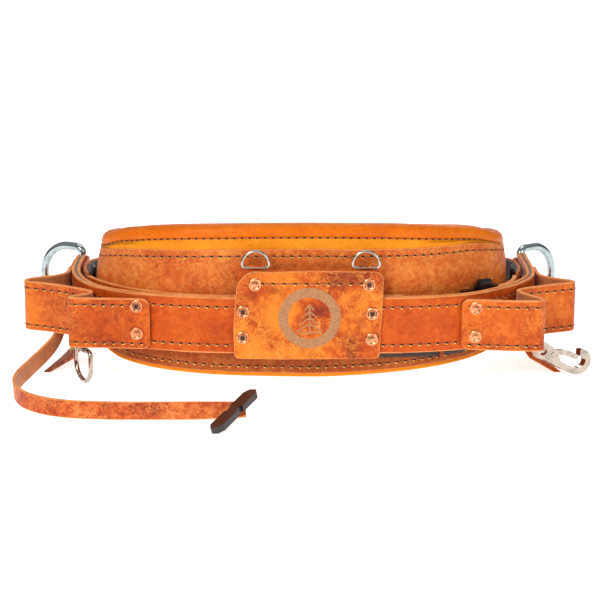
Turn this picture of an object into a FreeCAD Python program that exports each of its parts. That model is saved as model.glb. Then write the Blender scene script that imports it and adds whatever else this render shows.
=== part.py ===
import FreeCAD, Part
import math, os
from FreeCAD import Vector as V

# Leather climbing body belt (work-positioning belt): padded back cushion, side D-ring strap with
# folded tool loops, riveted accessory plate, front waist strap with roller buckle, quick-release
# pad strap, hanging ring, snap hook and tape thong with toggle.
# Design frame, mm: x to the right, y towards the wearer's front, z up. The back of the belt is at
# low y. Everything is shifted at the end so the origin is the centre of the base.
os.makedirs("parts", exist_ok=True)

# ---------------------------------------------------------------- driving dimensions
STRAP_Z0, STRAP_Z1 = 36.0, 86.8        # 2 in D-ring strap
LOOP_Z0, LOOP_Z1 = 37.3, 83.9          # tool loop strap
LOOP_T = 4.0
PLY_T, CORE_T = 3.0, 1.9               # strap leather plies and woven core
PLATE = (-63.5, 70.0, 31.4, 112.0)     # accessory plate x0, x1, z0, z1
PLATE_Y = (0.3, 3.9)
BURR_R, SHANK_R = 5.95, 2.0            # copper rivets
DR_WIRE, DR_H, DR_E = 4.0, 30.25, 46.0 # large D-ring: wire radius, half height, reach (centreline)
DEE_WIRE, DEE_H, DEE_E = 1.4, 11.9, 14.7
RING_WIRE, RING_H, RING_E = 2.1, 16.5, 30.0
SDEE_WIRE, SDEE_H, SDEE_E = 1.9, 11.5, 17.0
WAIST_Z0, WAIST_Z1 = 41.5, 87.5        # waist strap
THONG_W, THONG_T = 16.0, 3.2

# outer face of the D-ring strap, plan view, left end to right end
P_OUT = [(-222, 181), (-222.3, 150), (-221.3, 122), (-217, 98), (-210, 77), (-197.5, 54.5), (-180, 37.5), (-158.5, 25),
         (-137, 16.8), (-112, 10.2), (-85, 5.4), (-62, 4), (72, 4), (95, 5.6), (120, 10), (143, 16.6), (162, 26.5),
         (183, 45.5), (197.8, 62.7), (210, 82), (215.5, 99), (217.3, 120), (217.3, 150), (216.6, 190)]
# outer face of the back cushion
P_PAD = [(-187, 134), (-193, 116), (-194.5, 98), (-190, 82), (-177, 64), (-155, 45.5), (-130, 31.5), (-102, 22.8),
         (-70, 19.6), (64, 19.6), (96, 23.5), (124, 33.5), (149, 49.5), (170, 67), (183, 83), (188.5, 99), (187, 116), (181, 134)]
# pad strap (outer face), left end to its box-stitched right end
P_PSTRAP = [(-202.5, 90.5), (-196, 79), (-181, 61.2), (-158, 41.5), (-134, 27.5), (-106, 18.0), (-76, 14.2), (-40, 14), (60, 14), (88, 14.4)]
P_WEB = [(60, 17.7), (72, 17.75), (90, 18.7), (108, 20.8), (124, 24.4), (137.5, 31.5), (146, 37.0)]
P_PSR = [(171.6, 54.9), (179.1, 59.8), (185.6, 66.8), (191.6, 77.5), (195, 88), (196, 97)]
# tool loop centrelines, from the riveted end to the end sewn on the D-ring strap
P_LOOPL = [(-139.6, 13.9), (-150, 15), (-175, 16.8), (-198, 18.5), (-211.5, 20), (-211.5, 26.3), (-195.5, 36), (-193.5, 45), (-204, 54),
           (-225, 68.5), (-243, 77), (-259.5, 83), (-259.5, 94), (-247, 101.5), (-234.5, 107), (-225.4, 116), (-224.3, 129), (-224.6, 144)]
P_LOOPR = [(140.6, 13.6), (155, 11.6), (172, 9.4), (192, 6.6), (211, 6.8), (213.5, 12.5), (196, 41), (193.8, 50), (202.5, 57.5), (222.5, 67.5), (236, 73), (249.2, 77.8),
           (249.2, 86.8), (236.5, 94), (226.2, 101.5), (221, 111), (219.7, 124), (219.6, 142)]
# waist strap outer face
P_BANDL = [(-205.4, 100), (-208.6, 114), (-210.4, 130), (-209.8, 150), (-202, 167), (-182, 175), (-150, 176), (-60, 176), (-44, 175.4), (-24, 174.1),
           (-6, 177.4), (10, 186.0), (24, 186.8), (40, 186.8), (128, 186.8)]
P_BANDR = [(14.5, 176.4), (60, 176.4), (145, 176.0), (177, 175), (197, 167), (204.6, 150), (205.4, 130), (203.6, 114), (200.4, 100)]


# ---------------------------------------------------------------- path helpers
def path(points, share=0.47):
    """Straight runs joined by tangent arcs: list of ("L", p, q) and ("A", p, q, centre, r, turn)."""
    out, prev = [], points[0]
    for i in range(1, len(points) - 1):
        p0, p1, p2 = points[i - 1], points[i], points[i + 1]
        a1 = math.atan2(p1[1] - p0[1], p1[0] - p0[0])
        a2 = math.atan2(p2[1] - p1[1], p2[0] - p1[0])
        turn = (a2 - a1 + math.pi) % (2 * math.pi) - math.pi
        if abs(turn) < 1e-3:
            continue
        run = share * min(math.dist(p0, p1), math.dist(p1, p2))
        r = run / math.tan(abs(turn) / 2)
        a = (p1[0] - math.cos(a1) * run, p1[1] - math.sin(a1) * run)
        b = (p1[0] + math.cos(a2) * run, p1[1] + math.sin(a2) * run)
        s = 1 if turn > 0 else -1
        c = (a[0] - math.sin(a1) * r * s, a[1] + math.cos(a1) * r * s)
        out += [("L", prev, a), ("A", a, b, c, r, turn)]
        prev = b
    out.append(("L", prev, points[-1]))
    return [s for s in out if s[0] == "A" or math.dist(s[1], s[2]) > 1e-6]


def seg_len(s):
    return math.dist(s[1], s[2]) if s[0] == "L" else abs(s[5]) * s[4]


def at(s, t):
    """Point and direction angle at share t of a segment."""
    if s[0] == "L":
        return ((s[1][0] + (s[2][0] - s[1][0]) * t, s[1][1] + (s[2][1] - s[1][1]) * t), math.atan2(s[2][1] - s[1][1], s[2][0] - s[1][0]))
    a = math.atan2(s[1][1] - s[3][1], s[1][0] - s[3][0]) + s[5] * t
    return ((s[3][0] + s[4] * math.cos(a), s[3][1] + s[4] * math.sin(a)), a + math.copysign(math.pi / 2, s[5]))


def total(segs):
    return sum(seg_len(s) for s in segs)


def place(segs, d):
    """Point and direction at distance d along a path."""
    for s in segs:
        n = seg_len(s)
        if d <= n or s is segs[-1]:
            return at(s, min(1.0, d / n))
        d -= n


def trim(segs, d0, d1):
    out, run = [], 0.0
    for s in segs:
        n = seg_len(s)
        a, b = max(0.0, (d0 - run) / n), min(1.0, (d1 - run) / n)
        run += n
        if b - a < 1e-6:
            continue
        p, q = at(s, a)[0], at(s, b)[0]
        out.append(("L", p, q) if s[0] == "L" else ("A", p, q, s[3], s[4], s[5] * (b - a)))
    return out


def shift(segs, d):
    """The path moved d to its left."""
    out = []
    for s in segs:
        pts = []
        for t in (0.0, 1.0):
            p, a = at(s, t)
            pts.append((p[0] - math.sin(a) * d, p[1] + math.cos(a) * d))
        if s[0] == "L":
            out.append(("L", pts[0], pts[1]))
        else:
            out.append(("A", pts[0], pts[1], s[3], s[4] - (d if s[5] > 0 else -d), s[5]))
    return out


def edges(segs, back=False):
    out = []
    for s in segs:
        p, q = V(*s[1], 0), V(*s[2], 0)
        if s[0] == "L":
            out.append(Part.LineSegment(q, p).toShape() if back else Part.LineSegment(p, q).toShape())
        else:
            m = V(*at(s, 0.5)[0], 0)
            out.append(Part.Arc(q, m, p).toShape() if back else Part.Arc(p, m, q).toShape())
    return out[::-1] if back else out


def ribbon(segs, d0, d1, z0, z1):
    """A strap on edge: the band between two offsets of a plan path, from z0 to z1."""
    a, b = shift(segs, d0), shift(segs, d1)
    e = edges(a)
    e.append(Part.LineSegment(V(*a[-1][2], 0), V(*b[-1][2], 0)).toShape())
    e += edges(b, back=True)
    e.append(Part.LineSegment(V(*b[0][1], 0), V(*a[0][1], 0)).toShape())
    face = Part.Face(Part.Wire(Part.__sortEdges__(e)))
    s = face.extrude(V(0, 0, z1 - z0))
    s.translate(V(0, 0, z0))
    return s


def box(x0, x1, y0, y1, z0, z1):
    return Part.makeBox(x1 - x0, y1 - y0, z1 - z0, V(x0, y0, z0))


def xz_prism(points, y0, y1):
    """A closed outline in the x-z plane, run from y0 to y1. Points may be (x, z) or lists for splines."""
    e = []
    for kind, pts in points:
        v = [V(p[0], y0, p[1]) for p in pts]
        if kind == "s":
            c = Part.BSplineCurve()
            c.interpolate(v)
            e.append(c.toShape())
        else:
            e += [Part.LineSegment(v[i], v[i + 1]).toShape() for i in range(len(v) - 1)]
    f = Part.Face(Part.Wire(Part.__sortEdges__(e)))
    return f.extrude(V(0, y1 - y0, 0))


def turned(shape, origin, zdir, xdir=None):
    """Puts a shape made at the origin (axis +Z) at origin with its Z along zdir and, if given, its X along xdir."""
    z = V(*zdir).normalize()
    if xdir is None:
        x = V(0, 0, 1).cross(z)
        x = V(1, 0, 0) if x.Length < 1e-6 else x.normalize()
    else:
        x = V(*xdir)
        x = (x - z * x.dot(z)).normalize()
    y = z.cross(x)
    m = FreeCAD.Matrix(x.x, y.x, z.x, origin[0], x.y, y.y, z.y, origin[1], x.z, y.z, z.z, origin[2], 0, 0, 0, 1)
    s = shape.copy()
    s.Placement = FreeCAD.Placement(m).multiply(s.Placement)
    return s


def d_ring(r, h, e, corner):
    """A closed D of round wire in the x-z plane: straight bar on the z axis, bow reaching to +x = e."""
    k = corner
    pts = []
    cs = math.sqrt(0.5) * k
    bar = Part.LineSegment(V(0, 0, -h + k), V(0, 0, h - k)).toShape()
    c1 = Part.Arc(V(0, 0, h - k), V(k - cs, 0, h - k + cs), V(k, 0, h)).toShape()
    t = Part.LineSegment(V(k, 0, h), V(e - h, 0, h)).toShape() if e - h - k > 1e-3 else None
    bow = Part.Arc(V(e - h, 0, h), V(e, 0, 0), V(e - h, 0, -h)).toShape()
    b = Part.LineSegment(V(e - h, 0, -h), V(k, 0, -h)).toShape() if t else None
    c2 = Part.Arc(V(k, 0, -h), V(k - cs, 0, -h + k - cs), V(0, 0, -h + k)).toShape()
    parts = [x for x in (bar, c1, t, bow, b, c2) if x]
    prof = Part.Wire(Part.Circle(V(0, 0, 0), V(0, 0, 1), r).toShape())
    s = Part.Wire(parts).makePipeShell([prof], True, True)
    s = s if s.ShapeType == "Solid" else Part.Solid(s)
    if s.Volume < 0:
        s.reverse()
    return s


def revolve(rz):
    v = [V(r, 0, z) for r, z in rz]
    f = Part.Face(Part.makePolygon(v + [v[0]]))
    s = f.revolve(V(0, 0, 0), V(0, 0, 1), 360)
    return s if s.ShapeType == "Solid" else Part.Solid(s)


def rivet(stack):
    """Peened copper rivet, outer leather face at z=0, flat head on the far side."""
    return revolve([(0, -stack - 1.3), (5.0, -stack - 1.3), (5.4, -stack - 0.9), (5.4, -stack - 0.1), (SHANK_R, -stack - 0.1), (SHANK_R, 0.62),
                    (2.75, 0.62), (2.7, 1.0), (2.2, 1.45), (1.2, 1.7), (0, 1.75)])


def burr():
    return revolve([(2.12, 0.05), (BURR_R, 0.05), (BURR_R, 0.45), (5.6, 0.95), (5.0, 1.3), (4.3, 1.25), (3.7, 0.85), (3.2, 0.58), (2.12, 0.52)])


def hole(r, stack):
    return Part.makeCylinder(r, stack + 6, V(0, 0, -stack - 3))


OUT = {}


def add(name, *solids):
    OUT[name] = solids[0] if len(solids) == 1 else Part.makeCompound(list(solids))


out_path = path(P_OUT)
pad_path = path(P_PAD)

# ---------------------------------------------------------------- rivet stations
plate_up = [(-44.4, 100.0), (56.9, 99.8)]
plate_low = [(-55.3, 75.0), (-55.7, 51.2), (59.8, 73.4), (59.4, 49.9)]
FRONT = (0, -1, 0)


def station(segs, x, z, d=0.0):
    """Where a path passes x, moved d to its left, with the outward normal there."""
    best = None
    n = total(segs)
    for k in range(4001):
        p, a = place(segs, n * k / 4000)
        if best is None or abs(p[0] - x) < best[0]:
            best = (abs(p[0] - x), p, a)
    p, a = best[1], best[2]
    return (p[0] - math.sin(a) * d, p[1] + math.cos(a) * d, z), (math.sin(a), -math.cos(a), 0)


def through(o, n, depth):
    """How far along -n from o the strap's inner face lies, with room for a flat head."""
    n_path = total(out_path)
    for k in range(60, 400):
        t = k * 0.1
        q = (o[0] - n[0] * t, o[1] - n[1] * t)
        best = None
        for j in range(800):
            pt, a = place(out_path, n_path * j / 800)
            d = math.dist(pt, q)
            if best is None or d < best[0]:
                best = (d, pt, a)
        d, pt, a = best
        side = -math.sin(a) * (q[0] - pt[0]) + math.cos(a) * (q[1] - pt[1])
        if side >= depth:
            lean = abs(math.sin(a) * n[1] + math.cos(a) * n[0])
            return t + 5.5 * lean / math.sqrt(1 - lean * lean) + 0.05
    return 20.0


cuts = {"plate": [], "strap": [], "back": [], "loopl": [], "loopr": [], "clip": []}
rv, bu = [], []
for x, z in plate_up:
    o = (x, PLATE_Y[0], z)
    rv.append(turned(rivet(8.35), o, FRONT))
    bu.append(turned(burr(), o, FRONT))
    for k in ("plate", "back", "clip"):
        cuts[k].append(turned(hole(2.08, 10), o, FRONT))
for x, z in plate_low:
    o = (x, PLATE_Y[0], z)
    rv.append(turned(rivet(11.8), o, FRONT))
    bu.append(turned(burr(), o, FRONT))
    for k in ("plate", "strap"):
        cuts[k].append(turned(hole(2.08, 14), o, FRONT))
add("plate_rivets", *rv)
add("plate_burrs", *bu)

# tab rivets: two at the end of each tool loop, through the loop and the D-ring strap
tab_r, tab_b = [], []
for side, xs, key, pts in (("left", -150.9, "loopl", P_LOOPL), ("right", 153.0, "loopr", P_LOOPR)):
    r, b = [], []
    for z in ((77.0, 51.8) if side == "left" else (75.9, 49.7)):
        (px, py, pz), n = station(out_path, xs + (0.4 if side == "left" else -0.2), z)
        lp, n = station(path(pts), xs, z, 0)
        if n[1] > 0:
            n = (-n[0], -n[1], 0)
        # outer face of the loop; the rivet goes on to the strap's inner face
        o = (lp[0] + n[0] * LOOP_T / 2, lp[1] + n[1] * LOOP_T / 2, pz)
        stack = through(o, n, 2 * PLY_T + CORE_T + 0.1)
        r.append(turned(rivet(stack), o, n))
        b.append(turned(burr(), o, n))
        for k in ("strap", key):
            cuts[k].append(turned(hole(2.08, stack + 2), o, n))
    tab_r += r
    tab_b += b
add("loop_rivets", *tab_r)
add("loop_burrs", *tab_b)


def drilled(s, *keys):
    for k in keys:
        for c in cuts[k]:
            if s.BoundBox.intersect(c.BoundBox):
                s = s.cut(c)
    return s


# ---------------------------------------------------------------- D-ring strap, three layers
L = total(out_path)
add("strap_outer_leather", drilled(ribbon(out_path, 0, PLY_T, STRAP_Z0, STRAP_Z1), "strap"))
add("strap_core_webbing", drilled(ribbon(trim(out_path, 1, L - 1), PLY_T + 0.05, PLY_T + 0.05 + CORE_T, STRAP_Z0 + 1.2, STRAP_Z1 - 1.2), "strap"))
add("strap_inner_leather", drilled(ribbon(out_path, PLY_T + CORE_T + 0.1, 2 * PLY_T + CORE_T + 0.1, STRAP_Z0, STRAP_Z1), "strap"))

# ---------------------------------------------------------------- accessory plate with its two small dees
x0, x1, z0, z1 = PLATE
outline = [(x0, z0 + 3), (x0 - 0.5, 60), (x0 + 1.5, 84), (x0 + 4.5, z1 - 9), (x0 + 12, z1), (x1 - 9, z1), (x1 - 0.5, z1 - 9), (x1 - 2, 84), (x1 - 2.5, z0 + 3), (x1 - 5.5, z0), (x0 + 3, z0)]
plate = xz_prism([("l", outline + [outline[0]])], PLATE_Y[0], PLATE_Y[1])
add("accessory_plate", drilled(plate, "plate"))
add("plate_backing", drilled(box(x0 + 4, x1 - 4, 4.85, 7.8, 88.2, 112.3), "back"))
DEES = {"left": (-43.9, 6.3, 114.2), "right": (54.2, 6.3, 114.2)}
for side, c in DEES.items():
    dee = d_ring(DEE_WIRE, DEE_H, DEE_E, 2.6)
    # bar along x, bow up
    add("small_dee_" + side, turned(dee, c, (1, 0, 0), (0, 0, 1)))
    prof = Part.Face(Part.Wire(Part.__sortEdges__([
        Part.Arc(V(0, -1.55, 0), V(0, 0, 1.55), V(0, 1.55, 0)).toShape(), Part.LineSegment(V(0, 1.55, 0), V(0, 1.55, -21)).toShape(),
        Part.LineSegment(V(0, 1.55, -21), V(0, 2.2, -21)).toShape(), Part.LineSegment(V(0, 2.2, -21), V(0, 2.2, 0)).toShape(),
        Part.Arc(V(0, 2.2, 0), V(0, 0, 2.2), V(0, -2.2, 0)).toShape(), Part.LineSegment(V(0, -2.2, 0), V(0, -2.2, -21)).toShape(),
        Part.LineSegment(V(0, -2.2, -21), V(0, -1.55, -21)).toShape(), Part.LineSegment(V(0, -1.55, -21), V(0, -1.55, 0)).toShape()])))
    clip = prof.extrude(V(13, 0, 0))
    clip.translate(V(c[0] - 6.5, c[1], c[2]))
    add("small_dee_clip_" + side, drilled(clip, "clip"))

# ---------------------------------------------------------------- tool loops
for side, pts, key in (("left", P_LOOPL, "loopl"), ("right", P_LOOPR, "loopr")):
    add("tool_loop_" + side, drilled(ribbon(path(pts, 0.48), -LOOP_T / 2, LOOP_T / 2, LOOP_Z0, LOOP_Z1), key))

# ---------------------------------------------------------------- large D-rings and their leather saddles
MID = PLY_T + CORE_T / 2 + 0.05
(pl, al), (pr, ar) = place(out_path, 0), place(out_path, L)
DL = (pl[0] - math.sin(al) * MID - math.cos(al) * 8.5, pl[1] + math.cos(al) * MID - math.sin(al) * 8.5)
DR = (pr[0] - math.sin(ar) * MID + math.cos(ar) * 8.5, pr[1] + math.cos(ar) * MID + math.sin(ar) * 8.5)
DRZ = {"left": 62.0, "right": 58.4}
sad_r = []
DRA = {"left": (DL, math.radians(151), al), "right": (DR, math.radians(40.4), ar + math.pi)}
for side, (c, a, along) in DRA.items():
    z = DRZ[side]
    add("d_ring_" + side, turned(d_ring(DR_WIRE, DR_H, DR_E, 7.0), (c[0], c[1], z), (0, 0, 1), (math.cos(a), math.sin(a), 0)))
    # saddle: a fold round the bar with a leg on each face of the strap; local x runs along the strap
    ri, ro, leg = DR_WIRE + 0.25, DR_WIRE + 0.25 + 2.8, 44.0
    e = [Part.Arc(V(0, ro, 0), V(-ro, 0, 0), V(0, -ro, 0)).toShape(), Part.LineSegment(V(0, -ro, 0), V(leg, -ro, 0)).toShape(),
         Part.LineSegment(V(leg, -ro, 0), V(leg, -ri, 0)).toShape(), Part.LineSegment(V(leg, -ri, 0), V(0, -ri, 0)).toShape(),
         Part.Arc(V(0, -ri, 0), V(-ri, 0, 0), V(0, ri, 0)).toShape(), Part.LineSegment(V(0, ri, 0), V(leg, ri, 0)).toShape(),
         Part.LineSegment(V(leg, ri, 0), V(leg, ro, 0)).toShape(), Part.LineSegment(V(leg, ro, 0), V(0, ro, 0)).toShape()]
    s = Part.Face(Part.Wire(Part.__sortEdges__(e))).extrude(V(0, 0, 42))
    s = turned(s, (c[0], c[1], z - 21), (0, 0, 1), (math.cos(along), math.sin(along), 0))
    # two copper rivets through both legs
    n = (math.sin(along), -math.cos(along), 0) if side == "left" else (-math.sin(along), math.cos(along), 0)
    rs = []
    for dz in (-11, 11):
        o = (c[0] + math.cos(along) * 20 + n[0] * ro, c[1] + math.sin(along) * 20 + n[1] * ro, z + dz)
        rs += [turned(rivet(2 * ro + 0.1), o, n), turned(burr(), o, n)]
        h = turned(hole(2.08, 2 * ro), o, n)
        s = s.cut(h)
        for k in ("strap_outer_leather", "strap_core_webbing", "strap_inner_leather"):
            OUT[k] = OUT[k].cut(h)
    add("d_ring_saddle_" + side, s)
    sad_r += rs
add("saddle_rivets", *sad_r)

# ---------------------------------------------------------------- back cushion
TOPS = [(-215, 121), (-194, 127.5), (-184, 132.4), (-177, 135.9), (-164, 139.3), (-140, 144), (-107.5, 147.6), (-62, 149.4), (0, 150), (42, 149.7), (85, 148.7), (130, 144.7), (155, 140.8), (170, 136), (180, 131.2), (190, 127), (215, 119)]
BOTS = [(-215, 30), (-192, 23), (-180, 18.5), (-171, 15.9), (-156, 14.1), (-142, 13.1), (-109, 11.8), (-64, 10.1), (4, 8.9), (30, 9.5), (63, 11.6), (98, 14.0), (133, 16.1), (158, 18.2), (176, 22), (190, 27.5), (215, 34)]
FACE_T = [(-215, 108), (-192, 113.6), (-176, 118.3), (-159, 121.3), (-130, 124.3), (-94, 126.7), (-62, 127.6), (0, 127.9), (42, 127.6), (85, 127.5), (130, 126.6), (155, 125.3), (176, 121.5), (190, 117), (215, 108)]
ROLL_B = [(-215, 108.4), (-192, 114.1), (-184, 117.2), (-177, 120.7), (-164, 124.1), (-140, 128.8), (-107.5, 132.4), (-62, 134.2), (0, 134.8), (42, 134.5), (85, 133.5), (130, 129.5), (148, 127.2), (155, 126.1), (163, 125.0), (170, 123.5), (176, 122.1), (190, 117.7), (215, 108.7)]


def between(low, high, y0=-5, y1=240):
    return xz_prism([("s", low), ("l", [low[-1], high[-1]]), ("s", high[::-1]), ("l", [high[0], low[0]])], y0, y1)


def up(pts, d):
    return [(x, z + d) for x, z in pts]


PADL = total(pad_path)
add("pad_face_leather", ribbon(pad_path, 0, 3.4, 0, 170).common(between(up(BOTS, 4.5), FACE_T)))
add("pad_foam_core", ribbon(trim(pad_path, 5, PADL - 5), 3.6, 17.0, 0, 170).common(between(up(BOTS, 3.0), up(TOPS, -15.5))))
add("pad_lining_leather", ribbon(trim(pad_path, 1.5, PADL - 1.5), 17.2, 19.4, 0, 170).common(between(BOTS, up(TOPS, -3.0))))
add("pad_lower_edge", ribbon(trim(pad_path, 1.5, PADL - 1.5), 0.2, 17.0, 0, 170).common(between(BOTS, up(BOTS, 2.8))))
add("pad_top_roll", ribbon(trim(pad_path, 1.0, PADL - 1.0), -0.6, 17.0, 0, 170).common(between(ROLL_B, TOPS)))

# ---------------------------------------------------------------- pad strap with its quick-release buckle
ps = path(P_PSTRAP)
add("pad_strap_leather", ribbon(ps, 0, 3.5, 33, 87))
wb = path(P_WEB)
add("pad_webbing", ribbon(wb, 0, 1.8, 28, 82.5))
kp, ka = place(wb, 64)
kd = (math.cos(ka), math.sin(ka))
keeper = box(-2.2, 2.2, -2.6, 4.4, 25.4, 85.1).cut(box(-5, 5, -0.6, 2.4, 27.6, 82.9))
add("webbing_keeper", turned(keeper, (kp[0], kp[1], 0), (0, 0, 1), (kd[0], kd[1], 0)))
QO = (140.5, 34.4)                     # start of the buckle's line, in its mid-plane
QD = (0.835, 0.5503)
q = math.hypot(*QD)
QD = (QD[0] / q, QD[1] / q)


def on_line(shape):
    return turned(shape, (QO[0], QO[1], 0), (0, 0, 1), (QD[0], QD[1], 0))


male = box(2, 17.4, -3, 3, 31, 86).cut(box(10.4, 13.4, -5, 5, 35, 82)).cut(box(0, 7, -1.15, 1.15, 27, 83.1)).fuse(box(17.3, 26, -1.6, 1.6, 45, 76))
add("quick_buckle_male", on_line(male))
fem = box(18.2, 41, -4.5, 4.5, 33, 88).cut(box(17, 28, -2.0, 2.0, 44, 77)).cut(box(20.7, 34.3, -3.7, 3.7, 78.6, 95)).cut(box(20.7, 34.3, -3.7, 3.7, 20, 42.4)).cut(box(36.2, 45, -2.15, 2.15, 34.4, 86.6))
fem = fem.makeFillet(1.4, [e for e in fem.Edges if abs(e.BoundBox.ZLength - 55) < 0.01])
add("quick_buckle_female", on_line(fem))
latch = box(21, 34, -3.4, 3.4, 82.4, 94)
latch = latch.makeFillet(3.2, [e for e in latch.Edges if e.BoundBox.ZMin > 93.9 and e.BoundBox.XLength < 0.01 or e.BoundBox.ZMin > 93.9 and e.BoundBox.YLength < 0.01])
add("quick_buckle_latch_upper", on_line(latch))
low = latch.mirror(V(0, 0, 60.5), V(0, 0, 1))
add("quick_buckle_latch_lower", on_line(low))
psr = path(P_PSR)
add("pad_strap_right", ribbon(psr, -2, 2, 35, 86))
for side, x, y, ang in (("left", -198.3, 108, 100), ("right", 195.4, 112, 88)):
    a = math.radians(ang)
    g0 = 33.0 if side == "left" else 31.0
    g = box(-9, 9, -1.6, 1.6, g0, g0 + 60)
    g = g.cut(box(-6.4, -1.6, -3, 3, g0 + 3.5, g0 + 56.5)).cut(box(1.6, 6.4, -3, 3, g0 + 3.5, g0 + 56.5))
    g = g.makeFillet(1.2, [e for e in g.Edges if abs(e.BoundBox.ZLength - 60) < 0.01])
    add("slide_adjuster_" + side, turned(g, (x, y, 0), (0, 0, 1), (math.cos(a), math.sin(a), 0)))

# ---------------------------------------------------------------- waist strap and roller buckle
bl, br = path(P_BANDL), path(P_BANDR)
lead = 0.0
for s in bl:
    if s[2][0] > -58:
        break
    lead += seg_len(s)
LB = total(bl)
billet = ribbon(bl, 0, -3.6, WAIST_Z0, WAIST_Z1)
BAR_F, BAR_H = (-24.0, 179.0), (18.0, 174.6)
ROLL_R = 4.0
AXZ = 64.5
slot = box(-9, 12.5, 160, 200, AXZ - 3.4, AXZ + 3.4)
billet = billet.cut(slot)
for hx in (46, 71, 96):
    billet = billet.cut(Part.makeCylinder(2.6, 20, V(hx, 172, AXZ), V(0, 1, 0)))
tip = box(112, 140, 160, 200, 30, 100).cut(Part.makeCylinder(23, 40, V(106.5, 160, AXZ), V(0, 1, 0)))
billet = billet.cut(tip)
add("waist_billet_left", billet)
add("waist_webbing_left", ribbon(trim(bl, 6, lead), -3.75, -5.75, WAIST_Z0 + 1, WAIST_Z1 - 1))
# right strap: outer ply folds round the heel bar and returns as the inner ply
hr = 2.75
fold_r0, fold_r1 = hr + 0.25, hr + 0.25 + 3.2
inner = ribbon(trim(br, 24.6 - P_BANDR[0][0], total(br)), -0.05, -3.25, WAIST_Z0, WAIST_Z1)
add("waist_strap_right", inner)
fold = Part.makeCylinder(fold_r1, WAIST_Z1 - WAIST_Z0, V(BAR_H[0], BAR_H[1], WAIST_Z0)).cut(Part.makeCylinder(fold_r0, 80, V(BAR_H[0], BAR_H[1], 30)))
fold = fold.cut(box(BAR_H[0], 40, 160, 190, 30, 100))
f_in = box(BAR_H[0], 62, BAR_H[1] - fold_r1, BAR_H[1] - fold_r0, WAIST_Z0, WAIST_Z1)
f_out = box(BAR_H[0], 62, BAR_H[1] + fold_r0, BAR_H[1] + fold_r1, WAIST_Z0, WAIST_Z1)
chape = fold.fuse([f_in, f_out]).removeSplitter()
chape = chape.cut(box(BAR_H[0] - 9, BAR_H[0] + 5.8, 160, 190, AXZ - 3.6, AXZ + 3.6))
add("buckle_chape", chape)
add("waist_webbing_right", ribbon(trim(br, 52, total(br) - 6), -3.4, -5.4, WAIST_Z0 + 1, WAIST_Z1 - 1))
# frame: two side bars joined by the front bar and the heel bar, in a plane turned with the bars
fa = math.atan2(BAR_H[1] - BAR_F[1], BAR_H[0] - BAR_F[0])
fl = math.dist(BAR_F, BAR_H)
FH = 28.5
fr = Part.makeCylinder(2.6, 2 * FH, V(0, 0, -FH)).fuse([Part.makeCylinder(2.6, 2 * FH, V(fl, 0, -FH)), Part.makeSphere(2.6, V(0, 0, FH)), Part.makeSphere(2.6, V(0, 0, -FH)),
                                                        Part.makeSphere(2.6, V(fl, 0, FH)), Part.makeSphere(2.6, V(fl, 0, -FH)),
                                                        Part.makeCylinder(2.6, fl, V(0, 0, FH), V(1, 0, 0)), Part.makeCylinder(2.6, fl, V(0, 0, -FH), V(1, 0, 0))]).removeSplitter()
add("waist_buckle_frame", turned(fr, (BAR_F[0], BAR_F[1], AXZ), (0, 0, 1), (math.cos(fa), math.sin(fa), 0)))
roll = Part.makeCylinder(ROLL_R, 50, V(BAR_F[0], BAR_F[1], AXZ - 25)).cut(Part.makeCylinder(2.68, 60, V(BAR_F[0], BAR_F[1], AXZ - 30)))
add("waist_buckle_roller", roll)
# prong: an eye round the heel bar and a tongue that lies on the roller
eye = Part.makeCylinder(5.2, 5.2, V(BAR_H[0], BAR_H[1], AXZ - 2.6)).cut(Part.makeCylinder(2.68, 20, V(BAR_H[0], BAR_H[1], AXZ - 10)))
t0 = V(BAR_H[0] - 4.2, BAR_H[1] + 1.6, AXZ)
t1 = V(BAR_F[0] - 1.5, BAR_F[1] + ROLL_R + 2.7, AXZ)
tongue = Part.makeCylinder(2.1, (t1 - t0).Length, t0, t1 - t0).fuse(Part.makeSphere(2.1, t1)).cut(Part.makeCylinder(3.0, 20, V(BAR_H[0], BAR_H[1], AXZ - 10)))
prong = eye.fuse(tongue).removeSplitter()
add("waist_buckle_prong", prong)
for name, x in (("waist_keeper_fixed", 40.5), ("waist_keeper_sliding", 84.0)):
    k = box(-6, 6, 168.3, 189.5, WAIST_Z0 - 3, WAIST_Z1 + 3).cut(box(-9, 9, 170.5, 187.3, WAIST_Z0 - 0.7, WAIST_Z1 + 0.7))
    if name.endswith("fixed"):
        k = box(-6, 6, 166.0, 189.3, WAIST_Z0 - 3, WAIST_Z1 + 3).cut(box(-9, 9, 168.1, 187.1, WAIST_Z0 - 0.7, WAIST_Z1 + 0.7))
    k.translate(V(x, 0, 0))
    add(name, k)
wr = []
for x, z in ((54, 53), (54, 76)):
    o = (x, BAR_H[1] + fold_r1, z)
    wr.append(turned(rivet(2 * fold_r1), o, (0, 1, 0)))
    h = turned(hole(2.08, 14), o, (0, 1, 0))
    for k in ("waist_strap_right", "buckle_chape"):
        OUT[k] = OUT[k].cut(h)
add("waist_rivets", *wr)

# ---------------------------------------------------------------- side flaps under the D-ring strap: the belt stands on them
def slab(a, b, t, z):
    d = math.hypot(b[0] - a[0], b[1] - a[1])
    nx, ny = -(b[1] - a[1]) / d * t / 2, (b[0] - a[0]) / d * t / 2
    p = [V(a[0] + nx, a[1] + ny, z), V(b[0] + nx, b[1] + ny, z), V(b[0] - nx, b[1] - ny, z), V(a[0] - nx, a[1] - ny, z)]
    return Part.makePolygon(p + [p[0]])


def mir(p):
    return (-5.0 - p[0], p[1])


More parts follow.
